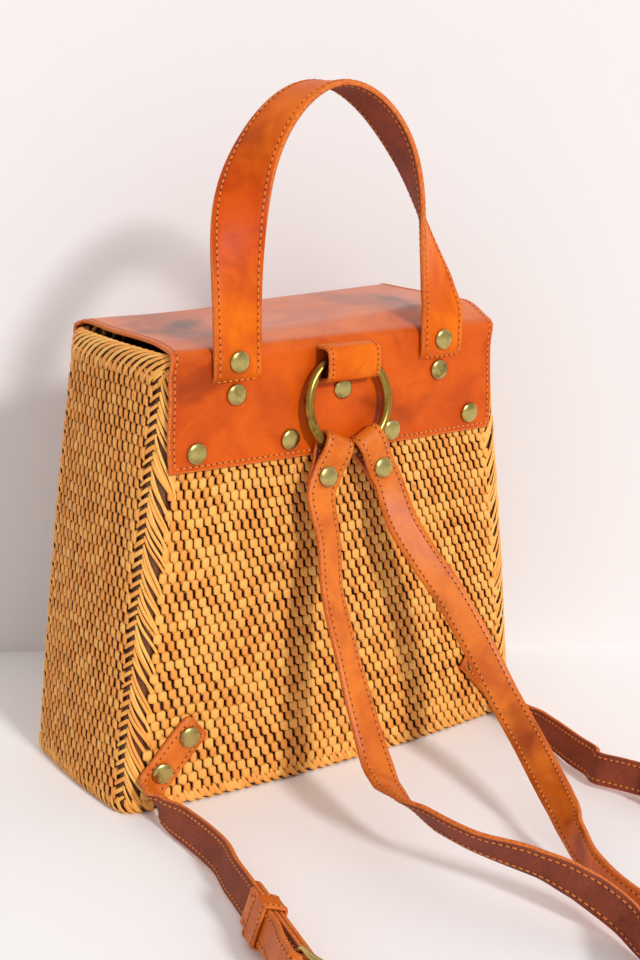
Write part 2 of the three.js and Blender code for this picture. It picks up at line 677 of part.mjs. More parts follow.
function buildHandle() {
  const line = flat([
    [TAIL_Y, HANDLE_TAIL_END],
    [TAIL_Y, HANDLE_SLIT_Z - 1.7],
    [HANDLE_STRAP_Y, HANDLE_SLIT_Z + 1.9],
    [HANDLE_STRAP_Y, HANDLE_FOLD_Z - HANDLE_THICKNESS / 2 - GAP],
  ]);
  [['left', -1], ['right', 1]].forEach(([side, sign]) => {
    const x = COVER_X + sign * HANDLE_CENTRE_X;
    const heights = [HANDLE_RIVET_HIGH_Z, HANDLE_RIVET_LOW_Z];
    const holes = heights.map((z) => rivetHole(vec(x, -HALF_DEPTH, z), OUT, HOLE_REACH));
    const end = acrossX(strip(line, HANDLE_THICKNESS), HANDLE_WIDTH, x);
    add(bag, `handle_${side}_end`, cut(end, holes), TAN);
  });

  const feet = (sign) => [COVER_X + sign * HANDLE_CENTRE_X, HANDLE_STRAP_Y];
  const stations = [
    [...feet(-1), HANDLE_FOLD_Z, 180],
    ...HANDLE_ROUTE.map(([x, y, rise, heading]) => [x, y, HANDLE_FOLD_Z + rise, heading]),
    [...feet(1), HANDLE_FOLD_Z, 0],
  ].map(([x, y, z, turn]) => ({
    place: vec(x, y, z),
    across: vec(Math.cos(radians(turn)), Math.sin(radians(turn)), 0),
  }));
  const arch = ribbon(stations, HANDLE_WIDTH, HANDLE_THICKNESS, 56);
  const foot = (sign) => new THREE.CylinderGeometry(HANDLE_THICKNESS / 2, HANDLE_THICKNESS / 2, HANDLE_WIDTH, 12)
    .rotateZ(Math.PI / 2).translate(...feet(sign), HANDLE_FOLD_Z);
  add(bag, 'handle_loop', joined(joined(arch, foot(-1)), foot(1)), TAN);
}

// Ring hardware

const ringGroup = new THREE.Group();
ringGroup.position.set(RING_X, RING_AXIS_Y, RING_TOP_Z);
ringGroup.rotation.x = -radians(RING_TILT);
ringGroup.updateMatrix();
bag.add(ringGroup);

const RING_CENTRE = vec(0, 0, -RING_RADIUS);
const around = (degrees) => vec(Math.sin(radians(degrees)), 0, -Math.cos(radians(degrees)));
const tangent = (degrees) => vec(Math.cos(radians(degrees)), 0, Math.sin(radians(degrees)));

function buildRing() {
  const line = flat([
    [TAB_TAIL_Y, TAB_TAIL_END],
    [TAB_TAIL_Y, TAB_LOW_Z - 1.4],
    [TAB_TAIL_Y - 1.4, TAB_LOW_Z],
    [TAB_FRONT_Y + 3.6, TAB_LOW_Z],
    [TAB_FRONT_Y + 0.9, TAB_LOW_Z + 1.4],
    [TAB_FRONT_Y, TAB_LOW_Z + 4.4],
    [TAB_FRONT_Y, TAB_HIGH_Z - 4.4],
    [TAB_FRONT_Y + 0.9, TAB_HIGH_Z - 1.4],
    [TAB_FRONT_Y + 3.6, TAB_HIGH_Z],
    [-HALF_DEPTH - 1.5 * GAP, TAB_HIGH_Z],
  ]);
  const hole = rivetHole(vec(COVER_X, -HALF_DEPTH, TAB_RIVET_Z), OUT, 5);
  add(bag, 'ring_tab', cut(acrossX(strip(line, HIDE), TAB_WIDTH, COVER_X), [hole]), TAN);

  const ring = new THREE.TorusGeometry(RING_RADIUS, RING_WIRE / 2, 10, 44);
  ring.rotateX(Math.PI / 2).translate(0, 0, -RING_RADIUS);
  add(ringGroup, 'ring', ring, BRASS);

  // Each strap loop is a doubled strap round the wire, drawn in (outwards, down the strap).
  const inner = LOOP_BORE / 2;
  const outer = inner + STRAP_THICKNESS;
  const lift = -1.6;
  const doubled = STRAP_THICKNESS + GAP / 2;
  const shape = new THREE.Shape();
  shape.moveTo(-doubled, LOOP_LENGTH);
  shape.lineTo(-doubled, 11);
  shape.lineTo(-outer, 2.5);
  shape.absarc(0, lift, outer, Math.PI, 2 * Math.PI, false);
  shape.lineTo(outer, 2.5);
  shape.lineTo(doubled, 11);
  shape.lineTo(doubled, LOOP_LENGTH);
  const bore = new THREE.Path();
  bore.moveTo(0, 9.6);
  bore.lineTo(inner, 1.9);
  bore.absarc(0, lift, inner, 2 * Math.PI, Math.PI, true);
  bore.lineTo(-inner, 1.9);
  shape.holes.push(bore);
  [['left', -1], ['right', 1]].forEach(([side, sign]) => {
    const angle = sign * LOOP_ANGLE;
    const wire = RING_CENTRE.clone().addScaledVector(around(angle), RING_RADIUS);
    const toRing = new THREE.Matrix4().makeBasis(vec(0, -1, 0), around(angle), tangent(angle)).setPosition(wire);
    const loop = extruded(shape, STRAP_WIDTH, 5).translate(0, 0, -STRAP_WIDTH / 2).applyMatrix4(toRing);
    const reach = 4 * RING_RADIUS;
    const middle = boxBetween(
      vec(sign > 0 ? -reach : -GAP / 2, -reach, -reach),
      vec(sign > 0 ? GAP / 2 : reach, reach, reach),
    );
    const seat = wire.clone().addScaledVector(around(angle), LOOP_RIVET_DROP).add(vec(0, -doubled, 0));
    add(ringGroup, `strap_${side}_loop`, cut(loop, [middle, rivetHole(seat, OUT, 12)]), TAN);
    rivet(ringGroup, `strap_${side}_loop_rivet`, seat, OUT, 2 * doubled + RIVET_SEAT_GAP + GAP);
  });
}

// Shoulder straps: routes chosen by hand, as a place and the direction across the strap

const station = ([x, y, z, ax, ay, az]) => ({ place: vec(x, y, z), across: vec(ax, ay, az).normalize() });

// The hanging stretch follows the ring up and down, and the rest stays on the ground.
const ROUTE_RING_Z = 233; // the ring's top when the routes were chosen
const ROUTE_HANG_LOW = 36;
const ROUTE_HANG_HIGH = 138;

function hung([x, y, z, ...across]) {
  const share = THREE.MathUtils.clamp((z - ROUTE_HANG_LOW) / (ROUTE_HANG_HIGH - ROUTE_HANG_LOW), 0, 1);
  return [x, y, z + share * (RING_TOP_Z - ROUTE_RING_Z), ...across];
}

// The stretch from the ring down to the ground and round to the buckle.
const UPPER_ROUTES = {
  left: [
    [-21.5, -77.1, 138.2, 0.95, 0.27, -0.17],
    [-26, -87, 114.8, 0.93, 0.34, -0.1],
    [-28.6, -103.4, 87.9, 0.95, 0.3, -0.05],
    [-29.6, -120.2, 58.9, 0.98, 0.15, 0.05],
    [-30.8, -134.4, 38.2, 0.98, 0.05, 0.08],
    [-35.2, -149.6, 31.8, 0.96, 0.1, -0.25],
    [-38.2, -168, 31, 0.78, 0.1, -0.6],
    [-37.9, -191.8, 30.9, 0.5, 0.05, -0.86],
    [-32.9, -217, 29.5, 0.47, 0.15, -0.86],
    [-19.6, -242.6, 27.2, 0.26, 0.1, -0.96],
    [-11.2, -259, 23.1, 0, 0, -1],
    [-4.7, -272, 17.4, -0.25, 0, -0.95],
    [-1.7, -287, 11.6, -0.3, 0.1, -0.9],
    [-19, -320, 9.4, 0.4, -0.2, -0.85],
    [-43, -343, 4.8, 0.5, -0.8, -0.2],
    [-78, -353, 2.4, 0, -1, 0],
    [-112, -343, 5, -0.5, -0.85, 0.2],
    [-136, -322, 10.2, -0.3, -0.4, 0.85],
    [-146, -299, 13, 0, 0, 1],
  ],
  right: [
    [22.8, -82, 143.5, 0.92, -0.19, 0.34],
    [29.8, -91, 126, 0.92, -0.2, 0.35],
    [39.9, -102.2, 105.4, 0.85, -0.35, 0.38],
    [48.2, -117.7, 79.7, 0.82, -0.4, 0.4],
    [54, -134.4, 53.4, 0.82, -0.46, 0.35],
    [51.8, -158, 36.6, 0.8, -0.48, 0.35],
    [43.8, -182.6, 27, 0.72, -0.48, 0.5],
    [35.8, -203.6, 20.6, 0.55, -0.35, 0.75],
    [26.8, -221.6, 16.2, 0.25, -0.1, 0.95],
    [18.8, -243, 13, 0, 0, 1],
    [15.2, -263, 10.4, 0, 0, 1],
    [15, -287, 9.4, 0, 0, 1],
    [24, -315, 9.2, 0, 0, 1],
    [47, -338, 9.2, 0, 0, 1],
    [80, -347, 9.2, 0, 0, 1],
    [113, -339, 9.6, 0, 0, 1],
    [135, -320, 11, 0, 0, 1],
    [143, -301, 13, 0, 0, 1],
  ],
};

// The stretch from the bottom corner to the buckle.
const LOWER_ROUTES = {
  left: [
    [-121.6, -66.8, 13, 0.55, -0.25, -0.8],
    [-122, -76, 10.4, 0.1, 0, -1],
    [-120, -94, 9.6, -0.3, 0, -0.95],
    [-119.8, -114, 9.6, -0.36, 0, -0.93],
    [-121.4, -133, 9.8, -0.36, 0, -0.93],
  ],
  right: [
    [118.5, -66.5, 13.2, 0.95, -0.2, 0.25],
    [119.4, -75, 10.6, 0.85, 0, -0.5],
    [117.2, -87, 9.8, 0.4, 0, -0.9],
    [113.6, -105, 9.6, -0.1, 0, -0.98],
    [109.8, -122, 9.8, -0.25, 0, -0.96],
    [105.6, -139, 10.2, -0.35, 0, -0.93],
    [102.6, -155, 10.8, -0.37, 0, -0.92],
  ],
};

// Buckle frames: x along the strap from the anchor, y out of the strap's grain face, z across.
const BUCKLES = {
  left: { heel: [-147.4, -239.5, 14.2], heading: -103.2 },
  right: { heel: [127, -249, 14.8], heading: -72.4 },
};
const BUCKLE_LEAN = 20; // degrees from upright
const BUCKLE_CLIMB = 2.5; // degrees, rising towards the buckle

function buckleGroup(side) {
  const group = new THREE.Group();
  const { heel, heading } = BUCKLES[side];
  const climb = radians(BUCKLE_CLIMB);
  const along = vec(
    Math.cos(radians(heading)) * Math.cos(climb),
    Math.sin(radians(heading)) * Math.cos(climb),
    Math.sin(climb),
  );
  const level = vec(0, 0, 1).cross(along).normalize();
  const upright = along.clone().cross(level);
  const lean = radians(BUCKLE_LEAN);
  const out = level.clone().multiplyScalar(Math.cos(lean)).addScaledVector(upright, -Math.sin(lean));
  const high = along.clone().cross(out);
  group.setRotationFromMatrix(new THREE.Matrix4().makeBasis(along, out, high));
  group.position.set(...heel);
  group.updateMatrix();
  bag.add(group);
  return group;
}

const BAR_OUT = -(STRAP_THICKNESS / 2 + GAP + BUCKLE_WIRE / 2);
const TONGUE_OUT = STRAP_THICKNESS + GAP;
const RETURN_OUT = -STRAP_THICKNESS - GAP;
const FRONT_BAR_OUT = TONGUE_OUT + STRAP_THICKNESS / 2 + GAP + BUCKLE_WIRE / 2;
const RAIL = STRAP_WIDTH / 2 + GAP + 0.1 + BUCKLE_WIRE / 2;

// Extrudes a profile drawn in the frame's (x, y) across the strap, centred on it.
const acrossStrap = (shape, width, segments) => extruded(shape, width, segments).translate(0, 0, -width / 2);

function buildBuckle(side) {
  const group = buckleGroup(side);

  // The frame is one bent wire: straight heel bar, rails that rise, straight front bar.
  const wire = [
    [0, BAR_OUT, -0.8 * RAIL],
    [0, BAR_OUT, 0],
    [0, BAR_OUT, 0.8 * RAIL],
    [1.6, BAR_OUT + 0.1, RAIL],
    [8, BAR_OUT + 1.6, RAIL],
    [14, BAR_OUT + 5.2, RAIL],
    [BUCKLE_REACH - 1.4, FRONT_BAR_OUT - 0.3, RAIL],
    [BUCKLE_REACH, FRONT_BAR_OUT, 0.8 * RAIL],
    [BUCKLE_REACH, FRONT_BAR_OUT, 0],
  ].map((p) => vec(...p));
  const mirrored = wire.slice(1, -1).filter((p) => p.z !== 0 || p.x > 0).reverse();
  const loop = [...wire.slice(1), ...mirrored.map((p) => vec(p.x, p.y, -p.z))];
  const curve = new THREE.CatmullRomCurve3(loop, true, 'centripetal');
  add(group, `buckle_${side}`, new THREE.TubeGeometry(curve, 52, BUCKLE_WIRE / 2, 8, true), BRASS);

  // The strap's end folds round the heel bar, with a slot for the prong.
  const bend = -BAR_OUT;
  const fold = [[-BUCKLE_END_LENGTH + GAP, 0], [-6, 0], [0, 0]];
  for (let k = 1; k <= 5; k += 1) {
    const angle = Math.PI / 2 - k * Math.PI / 5;
    fold.push([bend * Math.cos(angle), BAR_OUT + bend * Math.sin(angle)]);
  }
  const keeperNearest = -KEEPER_FROM_BUCKLE + KEEPER_WIDTH / 2 + KEEPER_SLIDE;
  fold.push([-4, 2 * BAR_OUT], [-12, 2 * BAR_OUT + 0.4], [keeperNearest + 1, RETURN_OUT]);
  fold.push([-FOLD_RETURN, RETURN_OUT]);
  const prongSlot = boxBetween(
    vec(-4.2, -3 * bend, -PRONG_WIDTH / 2 - 2 * GAP),
    vec(6, STRAP_THICKNESS, PRONG_WIDTH / 2 + 2 * GAP),
  );
  const end = acrossStrap(strip(flat(fold), STRAP_THICKNESS), STRAP_WIDTH);
  add(group, `strap_${side}_buckle_end`, cut(end, [prongSlot]), TAN);

  // The prong turns on the heel bar, comes up through the tongue and rests on the front bar.
  const eye = new THREE.Shape();
  const eyeInner = BUCKLE_WIRE / 2 + GAP;
  eye.absarc(0, 0, eyeInner + 1.6, 0, 2 * Math.PI, false);
  eye.holes.push(new THREE.Path().absarc(0, 0, eyeInner, 0, 2 * Math.PI, true));
  const restOut = FRONT_BAR_OUT + BUCKLE_WIRE / 2 + GAP + PRONG_THICKNESS / 2;
  const arm = strip(flat([
    [2.0, BAR_OUT + 2.2],
    [5.4, TONGUE_OUT + 1.7],
    [8.6, restOut - 1.4],
    [13, restOut],
    [BUCKLE_REACH + 3, restOut - 0.2],
  ]), PRONG_THICKNESS);
  const prong = joined(
    acrossStrap(eye, PRONG_WIDTH, 7).translate(0, BAR_OUT, 0),
    acrossStrap(arm, PRONG_WIDTH),
  );
  add(group, `prong_${side}`, prong, BRASS);

  // The tongue lies on the grain face, with a pointed tip and a row of holes.
  const halfStrap = STRAP_WIDTH / 2;
  const tip = new THREE.Shape();
  tip.moveTo(TONGUE_REACH, -halfStrap);
  tip.lineTo(TONGUE_REACH, halfStrap);
  tip.lineTo(-TONGUE_OVERLAP + 9, halfStrap);
  tip.quadraticCurveTo(-TONGUE_OVERLAP + 1, halfStrap - 1.5, -TONGUE_OVERLAP, 0);
  tip.quadraticCurveTo(-TONGUE_OVERLAP + 1, -halfStrap + 1.5, -TONGUE_OVERLAP + 9, -halfStrap);
  const slot = new THREE.Path();
  const slotHalf = PRONG_WIDTH / 2 + 1.5 * GAP;
  slot.moveTo(0.9, -slotHalf).lineTo(0.9, slotHalf).lineTo(7, slotHalf).lineTo(7, -slotHalf);
  tip.holes.push(slot);
  for (let k = 1; k <= TONGUE_HOLES; k += 1) {
    const hole = new THREE.Path();
    hole.absarc(4 - k * TONGUE_HOLE_PITCH, 0, TONGUE_HOLE_RADIUS, 0, 2 * Math.PI, true);
    tip.holes.push(hole);
  }
  const tongue = extruded(tip, STRAP_THICKNESS, 4).rotateX(Math.PI / 2)
    .translate(0, TONGUE_OUT + STRAP_THICKNESS / 2, 0);
  add(group, `strap_${side}_tongue`, tongue, TAN);

  // The keeper is a closed band round the strap, its folded end and the tongue.
  const low = RETURN_OUT - STRAP_THICKNESS / 2 - GAP;
  const highSide = TONGUE_OUT + STRAP_THICKNESS / 2 + GAP;
  const innerHalf = (highSide - low) / 2;
  const band = roundedRectangle(innerHalf + KEEPER_THICKNESS, halfStrap + GAP + KEEPER_THICKNESS, 2.2);
  const hollow = new THREE.Path(roundedRectangle(innerHalf, halfStrap + GAP, 0.4).getPoints(2));
  band.holes.push(hollow);
  const toFrame = new THREE.Matrix4().makeBasis(vec(0, 1, 0), vec(0, 0, 1), vec(1, 0, 0));
  const keeper = extruded(band, KEEPER_WIDTH, 3).translate(0, 0, -KEEPER_WIDTH / 2).applyMatrix4(toFrame);
  keeper.translate(-KEEPER_FROM_BUCKLE, (highSide + low) / 2, 0);
  add(group, `keeper_${side}`, keeper, TAN);
  return group;
}

function buildStrap(side, sign) {
  const group = buildBuckle(side);
  const inFrame = (x, y, z) => vec(x, y, z).applyMatrix4(group.matrix);
  const frameAcross = vec(0, 0, 1).transformDirection(group.matrix);

  // Upper strap: straight out of its loop, along the route and straight into the tongue.
  const angle = sign * LOOP_ANGLE;
  const fromWire = (reach) => RING_CENTRE.clone()
    .addScaledVector(around(angle), RING_RADIUS + reach)
    .add(vec(0, -STRAP_THICKNESS / 2 - GAP / 4, 0))
    .applyMatrix4(ringGroup.matrix);
  const loopAcross = tangent(angle).transformDirection(ringGroup.matrix);
  const upper = [
    { place: fromWire(LOOP_LENGTH + GAP), across: loopAcross },
    { place: fromWire(LOOP_LENGTH + GAP + 3), across: loopAcross },
    ...UPPER_ROUTES[side].map(hung).map(station),
    { place: inFrame(TONGUE_REACH + 18, TONGUE_OUT, 0), across: frameAcross },
    { place: inFrame(TONGUE_REACH + 6, TONGUE_OUT, 0), across: frameAcross },
    { place: inFrame(TONGUE_REACH + GAP, TONGUE_OUT, 0), across: frameAcross },
  ];
  add(bag, `strap_${side}_upper`, ribbon(upper, STRAP_WIDTH, STRAP_THICKNESS, 84), TAN);

  // Lower strap: flat on the panel at the rivets, then off the corner and along the ground.
  const anchor = ANCHORS[side];
  const onPanel = ([x, z]) => offBack(x, z, ANCHOR_OFF);
  const downTab = onPanel(anchor.rivets[1]).sub(onPanel(anchor.rivets[0])).normalize();
  const tabAcross = backNormal(...anchor.rivets[0]).cross(downTab).normalize();
  const frameDown = frameAcross.clone().negate();
  const lower = [
    ...[anchor.tip, anchor.rivets[0], anchor.rivets[1], anchor.leave].map((p) => (
      { place: onPanel(p), across: tabAcross })),
    ...LOWER_ROUTES[side].map(station),
    { place: inFrame(-BUCKLE_END_LENGTH - 26, 0, 0), across: frameDown },
    { place: inFrame(-BUCKLE_END_LENGTH - 10, 0, 0), across: frameDown },
    { place: inFrame(-BUCKLE_END_LENGTH, 0, 0), across: frameDown },
  ];
  const holes = anchor.rivets.map(([x, z]) => rivetHole(backPlace(x, z, 0), backNormal(x, z), HOLE_REACH));
  add(bag, `strap_${side}_lower`, cut(ribbon(lower, STRAP_WIDTH, STRAP_THICKNESS, 64), holes), TAN);
}

buildBasket();
buildCover();
buildHandle();
buildRing();
buildStrap('left', -1);
buildStrap('right', 1);

export default bag;
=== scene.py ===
"""Straw backpack: woven cane basket, leather lid and handle, brass ring and shoulder straps.

Lengths are millimetres until a mesh is made. +Z is up and -Y is the strap side.
"""

import math
import random

import bmesh
import bpy
import numpy as np
from mathutils import Matrix, Vector


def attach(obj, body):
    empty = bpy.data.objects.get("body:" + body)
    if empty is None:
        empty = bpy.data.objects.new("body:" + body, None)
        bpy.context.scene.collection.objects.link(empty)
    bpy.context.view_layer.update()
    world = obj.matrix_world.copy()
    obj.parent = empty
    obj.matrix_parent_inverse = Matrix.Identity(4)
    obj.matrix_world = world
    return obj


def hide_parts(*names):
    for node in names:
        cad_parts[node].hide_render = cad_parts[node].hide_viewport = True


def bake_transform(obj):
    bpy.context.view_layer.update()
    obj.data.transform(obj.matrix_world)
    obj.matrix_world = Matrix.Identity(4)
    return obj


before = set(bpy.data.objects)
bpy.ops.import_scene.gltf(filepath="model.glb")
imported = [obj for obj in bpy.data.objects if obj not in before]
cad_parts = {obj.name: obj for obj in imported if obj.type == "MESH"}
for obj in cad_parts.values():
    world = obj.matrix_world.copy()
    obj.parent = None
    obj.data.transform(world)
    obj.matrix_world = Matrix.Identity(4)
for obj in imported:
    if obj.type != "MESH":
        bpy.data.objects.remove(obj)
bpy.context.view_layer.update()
chance = random.Random(11)

MM = 0.001
ROUND = 2 * math.pi

# Basket
BASKET_HEIGHT = 240
BASE_WIDTH = 268
TOP_WIDTH = 208
HALF_DEPTH = 55
CORNER_RADIUS = 10
FLAT_DEPTH = HALF_DEPTH - CORNER_RADIUS  # half the sides' width between the corners
EDGE_SWELL = 8  # four times how far the sloping edges swell at mid height
FACE_BOW = 9
SIDE_BOW = 3

# Weave
ROW = 5.3
BROAD_COLUMNS = 84
NARROW_COLUMNS = 33
BASE_PITCH = 3.0
WEAVE_LOW = 2.5
WEAVE_HIGH = 232.5
WEAVE_DEPTH = 1.6  # from the cane's outer face to the middle of the weave
WEAVE_SWING = 1.3  # how far a strand swings out and in
CORD_DEPTH = 1.5  # from the middle of the weave to that of its cords

# Leather cover
HIDE = 2.2
HIDE_ROUNDING = 1.1
COVER_SEAT = 1.1
COVER_FACE = COVER_SEAT + HIDE
COVER_X = -1.5
COVER_INSET = 3.0  # of its sewing
YOKE_WIDTH = 208
YOKE_BOTTOM = 181
LID_X = 2
LID_WIDTH = 205
LID_MIDDLE = 101  # from the back bend to where the back piece ends
FLAP_BOTTOM = 178
FLAP_CORNER = 22
HINGE_Z = 241.4
HINGE_Y = 57.2
BEND = 3.2  # radius of the leather's bends at the lid's edges
SNAP_Z = 192

# Handle
HANDLE_WIDTH = 28
HANDLE_THICKNESS = 3
HANDLE_X = 65.3
HANDLE_STRAP_Y = -60.4
HANDLE_TAIL_Y = -54.4
HANDLE_INSET = 2.9  # of its sewing
HANDLE_SEWN_FROM = 17

# Ring, tab and straps
RING_RADIUS = 25.3
RING_WIRE = 5.5
RING_X = -1.5
RING_AXIS_Y = -62
RING_TOP_Z = 233
RING_TILT = math.radians(7.3)
TAB_WIDTH = 33
TAB_INSET = 2.2
STRAP_WIDTH = 17.6
STRAP_THICKNESS = 2.6
LOOP_ANGLE = 26
LOOP_INNER = 3.3  # from the ring's wire to the leather round it
LOOP_APART = 1.45  # half the distance between the loop's two layers

# Strap hardware
BUCKLE_WIRE = 3
BUCKLE_REACH = 20
BAR_OUT = -3.1
TONGUE_OUT = 2.9
RETURN_OUT = -2.9
FRONT_BAR_OUT = 6.0
RAIL = 10.7
KEEPER_FROM_BUCKLE = 44
KEEPER_WIDTH = 14
KEEPER_THICKNESS = 1.5
TONGUE_REACH = 30
TONGUE_OVERLAP = 75
TONGUE_HOLES = 4
TONGUE_HOLE_PITCH = 18

# Thread
STITCH_PITCH = 3.4
STITCH_INSET = 2.7
STITCH_SIZE = (1.15, 0.42, 0.34)
STITCH_HOLE = (0.55, 0.46, 0.14)
FINE_STITCHES = {"pitch": 2.8, "thread": (0.95, 0.34, 0.28)}


# ---- camera and light

CAMERA_PLACE = Vector((-462.15, -705.63, 376.24)) * MM
CAMERA_YAW = 0.605
CAMERA_PITCH = 0.261
CAMERA_ROLL = 0.011
CAMERA_LENS = 57.34


def make_camera():
    ahead = Vector((math.sin(CAMERA_YAW) * math.cos(CAMERA_PITCH),
                    math.cos(CAMERA_YAW) * math.cos(CAMERA_PITCH),
                    -math.sin(CAMERA_PITCH)))
    right = Vector((math.cos(CAMERA_YAW), -math.sin(CAMERA_YAW), 0))
    above = right.cross(ahead)
    c, s = math.cos(CAMERA_ROLL), math.sin(CAMERA_ROLL)
    right, above = right * c + above * s, above * c - right * s
    camera = bpy.data.objects.new("camera", bpy.data.cameras.new("camera"))
    camera.data.sensor_fit = "VERTICAL"
    camera.data.sensor_height = 36
    camera.data.lens = CAMERA_LENS
    camera.data.clip_start = 0.01
    turn = Matrix((right, above, -ahead)).transposed().to_4x4()
    camera.matrix_world = Matrix.Translation(CAMERA_PLACE) @ turn
    bpy.context.scene.collection.objects.link(camera)
    bpy.context.scene.camera = camera


def make_sun(towards, strength, softness):
    lamp = bpy.data.lights.new("key", "SUN")
    lamp.energy = strength
    lamp.angle = math.radians(softness)
    holder = bpy.data.objects.new("key", lamp)
    holder.rotation_euler = Vector(towards).to_track_quat("Z", "Y").to_euler()
    bpy.context.scene.collection.objects.link(holder)


make_camera()
make_sun(towards=(0.03, -1, 0.5), strength=2.0, softness=8)
world = bpy.data.worlds.new("studio")
world.use_nodes = True
world.node_tree.nodes["Background"].inputs["Color"].default_value = (0.985, 0.99, 1.0, 1)
world.node_tree.nodes["Background"].inputs["Strength"].default_value = 0.58
bpy.context.scene.world = world
bpy.context.scene.view_settings.view_transform = "Standard"


# ---- shader sums

def rgb(red, green, blue):
    """A colour as it is read on a screen, 0 to 255, in the linear values that a shader takes."""
    def linear(value):
        value /= 255
        return value / 12.92 if value <= 0.04045 else ((value + 0.055) / 1.055) ** 2.4
    return (linear(red), linear(green), linear(blue), 1.0)


class Value:
    """One output of a node, on which sums add Math nodes."""

    def __init__(self, paint, socket):
        self.paint = paint
        self.socket = socket

    def sum(self, operation, first, second):
        return self.paint.node("ShaderNodeMath", {"operation": operation}, {0: first, 1: second})

    def __add__(self, other):
        return self.sum("ADD", self, other)

    def __sub__(self, other):
        return self.sum("SUBTRACT", self, other)

    def __mul__(self, other):
        return self.sum("MULTIPLY", self, other)

    def __rsub__(self, other):
        return self.sum("SUBTRACT", other, self)

    __radd__ = __add__
    __rmul__ = __mul__

    def above(self, low, high):
        """0 below low, 1 above high and smooth between."""
        settings = {"interpolation_type": "SMOOTHSTEP"}
        inputs = {0: self, 1: low, 2: high, 3: 0.0, 4: 1.0}
        return self.paint.node("ShaderNodeMapRange", settings, inputs)


class Paint:
    """A material while its nodes are laid."""

    def __init__(self, name):
        self.material = bpy.data.materials.new(name)
        self.material.use_nodes = True
        self.tree = self.material.node_tree
        self.shader = self.tree.nodes["Principled BSDF"]

    def put(self, socket, value):
        if isinstance(value, Value):
            self.tree.links.new(value.socket, socket)
        else:
            socket.default_value = value

    def node(self, kind, settings=None, inputs=None, output=0):
        made = self.tree.nodes.new(kind)
        for key, value in (settings or {}).items():
            setattr(made, key, value)
        for key, value in (inputs or {}).items():
            self.put(made.inputs[key], value)
        return Value(self, made.outputs[output])

    def place(self, stretch=(1, 1, 1)):
        where = self.node("ShaderNodeTexCoord", output=3)
        if tuple(stretch) == (1, 1, 1):
            return where
        inputs = {0: where, 1: stretch}
        return self.node("ShaderNodeVectorMath", {"operation": "MULTIPLY"}, inputs)

    def noise(self, scale, detail=2.0, rough=0.5, stretch=(1, 1, 1), twist=0.0):
        inputs = {"Vector": self.place(stretch), "Scale": scale, "Detail": detail,
                  "Roughness": rough, "Distortion": twist}
        return self.node("ShaderNodeTexNoise", None, inputs)

    def mark(self, name):
        return self.node("ShaderNodeAttribute", {"attribute_name": name}, output=2)

    def blend(self, share, first, second):
        inputs = {0: share, 6: first, 7: second}
        return self.node("ShaderNodeMix", {"data_type": "RGBA"}, inputs, output=2)

    def bump(self, height, depth, strength=1.0):
        inputs = {"Height": height, "Distance": depth * MM, "Strength": strength}
        return self.node("ShaderNodeBump", None, inputs)

    def done(self, **sockets):
        for key, value in sockets.items():
            self.put(self.shader.inputs[key.replace("_", " ")], value)
        return self.material


# ---- finishes

def cane_finish(name, pale, warm, hollow_shade, streak=(1, 1, 0.12)):
    """Split cane: the tone mark is how pale a strand is, the rise mark how far out it stands. Where
    the rise mark is low the hollow colour is painted shade.
    """
    paint = Paint(name)
    tone, rise = paint.mark("tone"), paint.mark("rise")
    fibre = paint.noise(1500, 2, 0.6, streak)
    blotch = paint.noise(60, 3, 0.6)
    fair = (tone * 0.75 + fibre * 0.35 + blotch * 0.3 - 0.2).above(0.1, 0.95)
    stain = paint.noise(140, 3, 0.7).above(0.6, 0.74) * 0.5
    colour = paint.blend(stain, paint.blend(fair, warm, pale), rgb(150, 76, 30))
    return paint.done(
        Base_Color=paint.blend(rise.above(0.12, 0.62), hollow_shade, colour),
        Roughness=fibre * 0.2 + 0.42, Normal=paint.bump(fibre, 0.12, 0.6))


def leather_finish(name, pale, rich, stain, gloss, mottle, coat=0.0, shine=0.16, shade_and_sheen=None):
    """Oiled leather. Second colours, and the coat, take over where the tone mark goes to 1:
    painted shade on the handle; on the lid paler colours, partly a painted sheen, and a darker
    stain.

    The rise mark of leather with second colours is a dark patch of stain."""
    paint = Paint(name)
    if shade_and_sheen:
        share = paint.mark("tone")
        pale, rich, stain = (paint.blend(share, a, b) for a, b in zip((pale, rich, stain), shade_and_sheen))
        coat = share * coat
    cloud = paint.noise(mottle, 4, 0.6, twist=0.6)
    grain = paint.noise(1300, 3, 0.6)
    crease = paint.noise(260, 4, 0.65, (1, 1, 0.55), 0.8)
    colour = paint.blend(cloud.above(0.32, 0.68), rich, pale)
    dark = paint.noise(17, 3, 0.55, twist=0.5).above(0.56, 0.74) * 0.75
    colour = paint.blend(dark, colour, stain)
    colour = paint.blend(grain.above(0.55, 0.75) * 0.22, colour, stain)
    if shade_and_sheen:
        cover = 0.35 + 0.9 * paint.noise(70, 3, 0.7, twist=0.4).above(0.3, 0.7)
        patch = (paint.mark("rise") * cover).above(0.1, 1.1)
        colour = paint.blend(patch, colour, rgb(112, 46, 14))
    return paint.done(
        Base_Color=colour, Roughness=cloud * 0.18 + grain * 0.12 + (gloss - 0.12),
        Specular_IOR_Level=shine, Coat_Weight=coat, Coat_Roughness=0.3,
        Normal=paint.bump(grain * 0.6 + crease * 0.8, 0.28, 0.5))


def flesh_finish(name, pale, rich):
    paint = Paint(name)
    nap = paint.noise(700, 4, 0.75)
    patch = paint.noise(70, 3, 0.6)
    colour = paint.blend((nap * 0.6 + patch * 0.5).above(0.35, 0.75), rich, pale)
    return paint.done(
        Base_Color=colour, Roughness=nap * 0.15 + 0.7, Normal=paint.bump(nap, 0.3, 0.8))


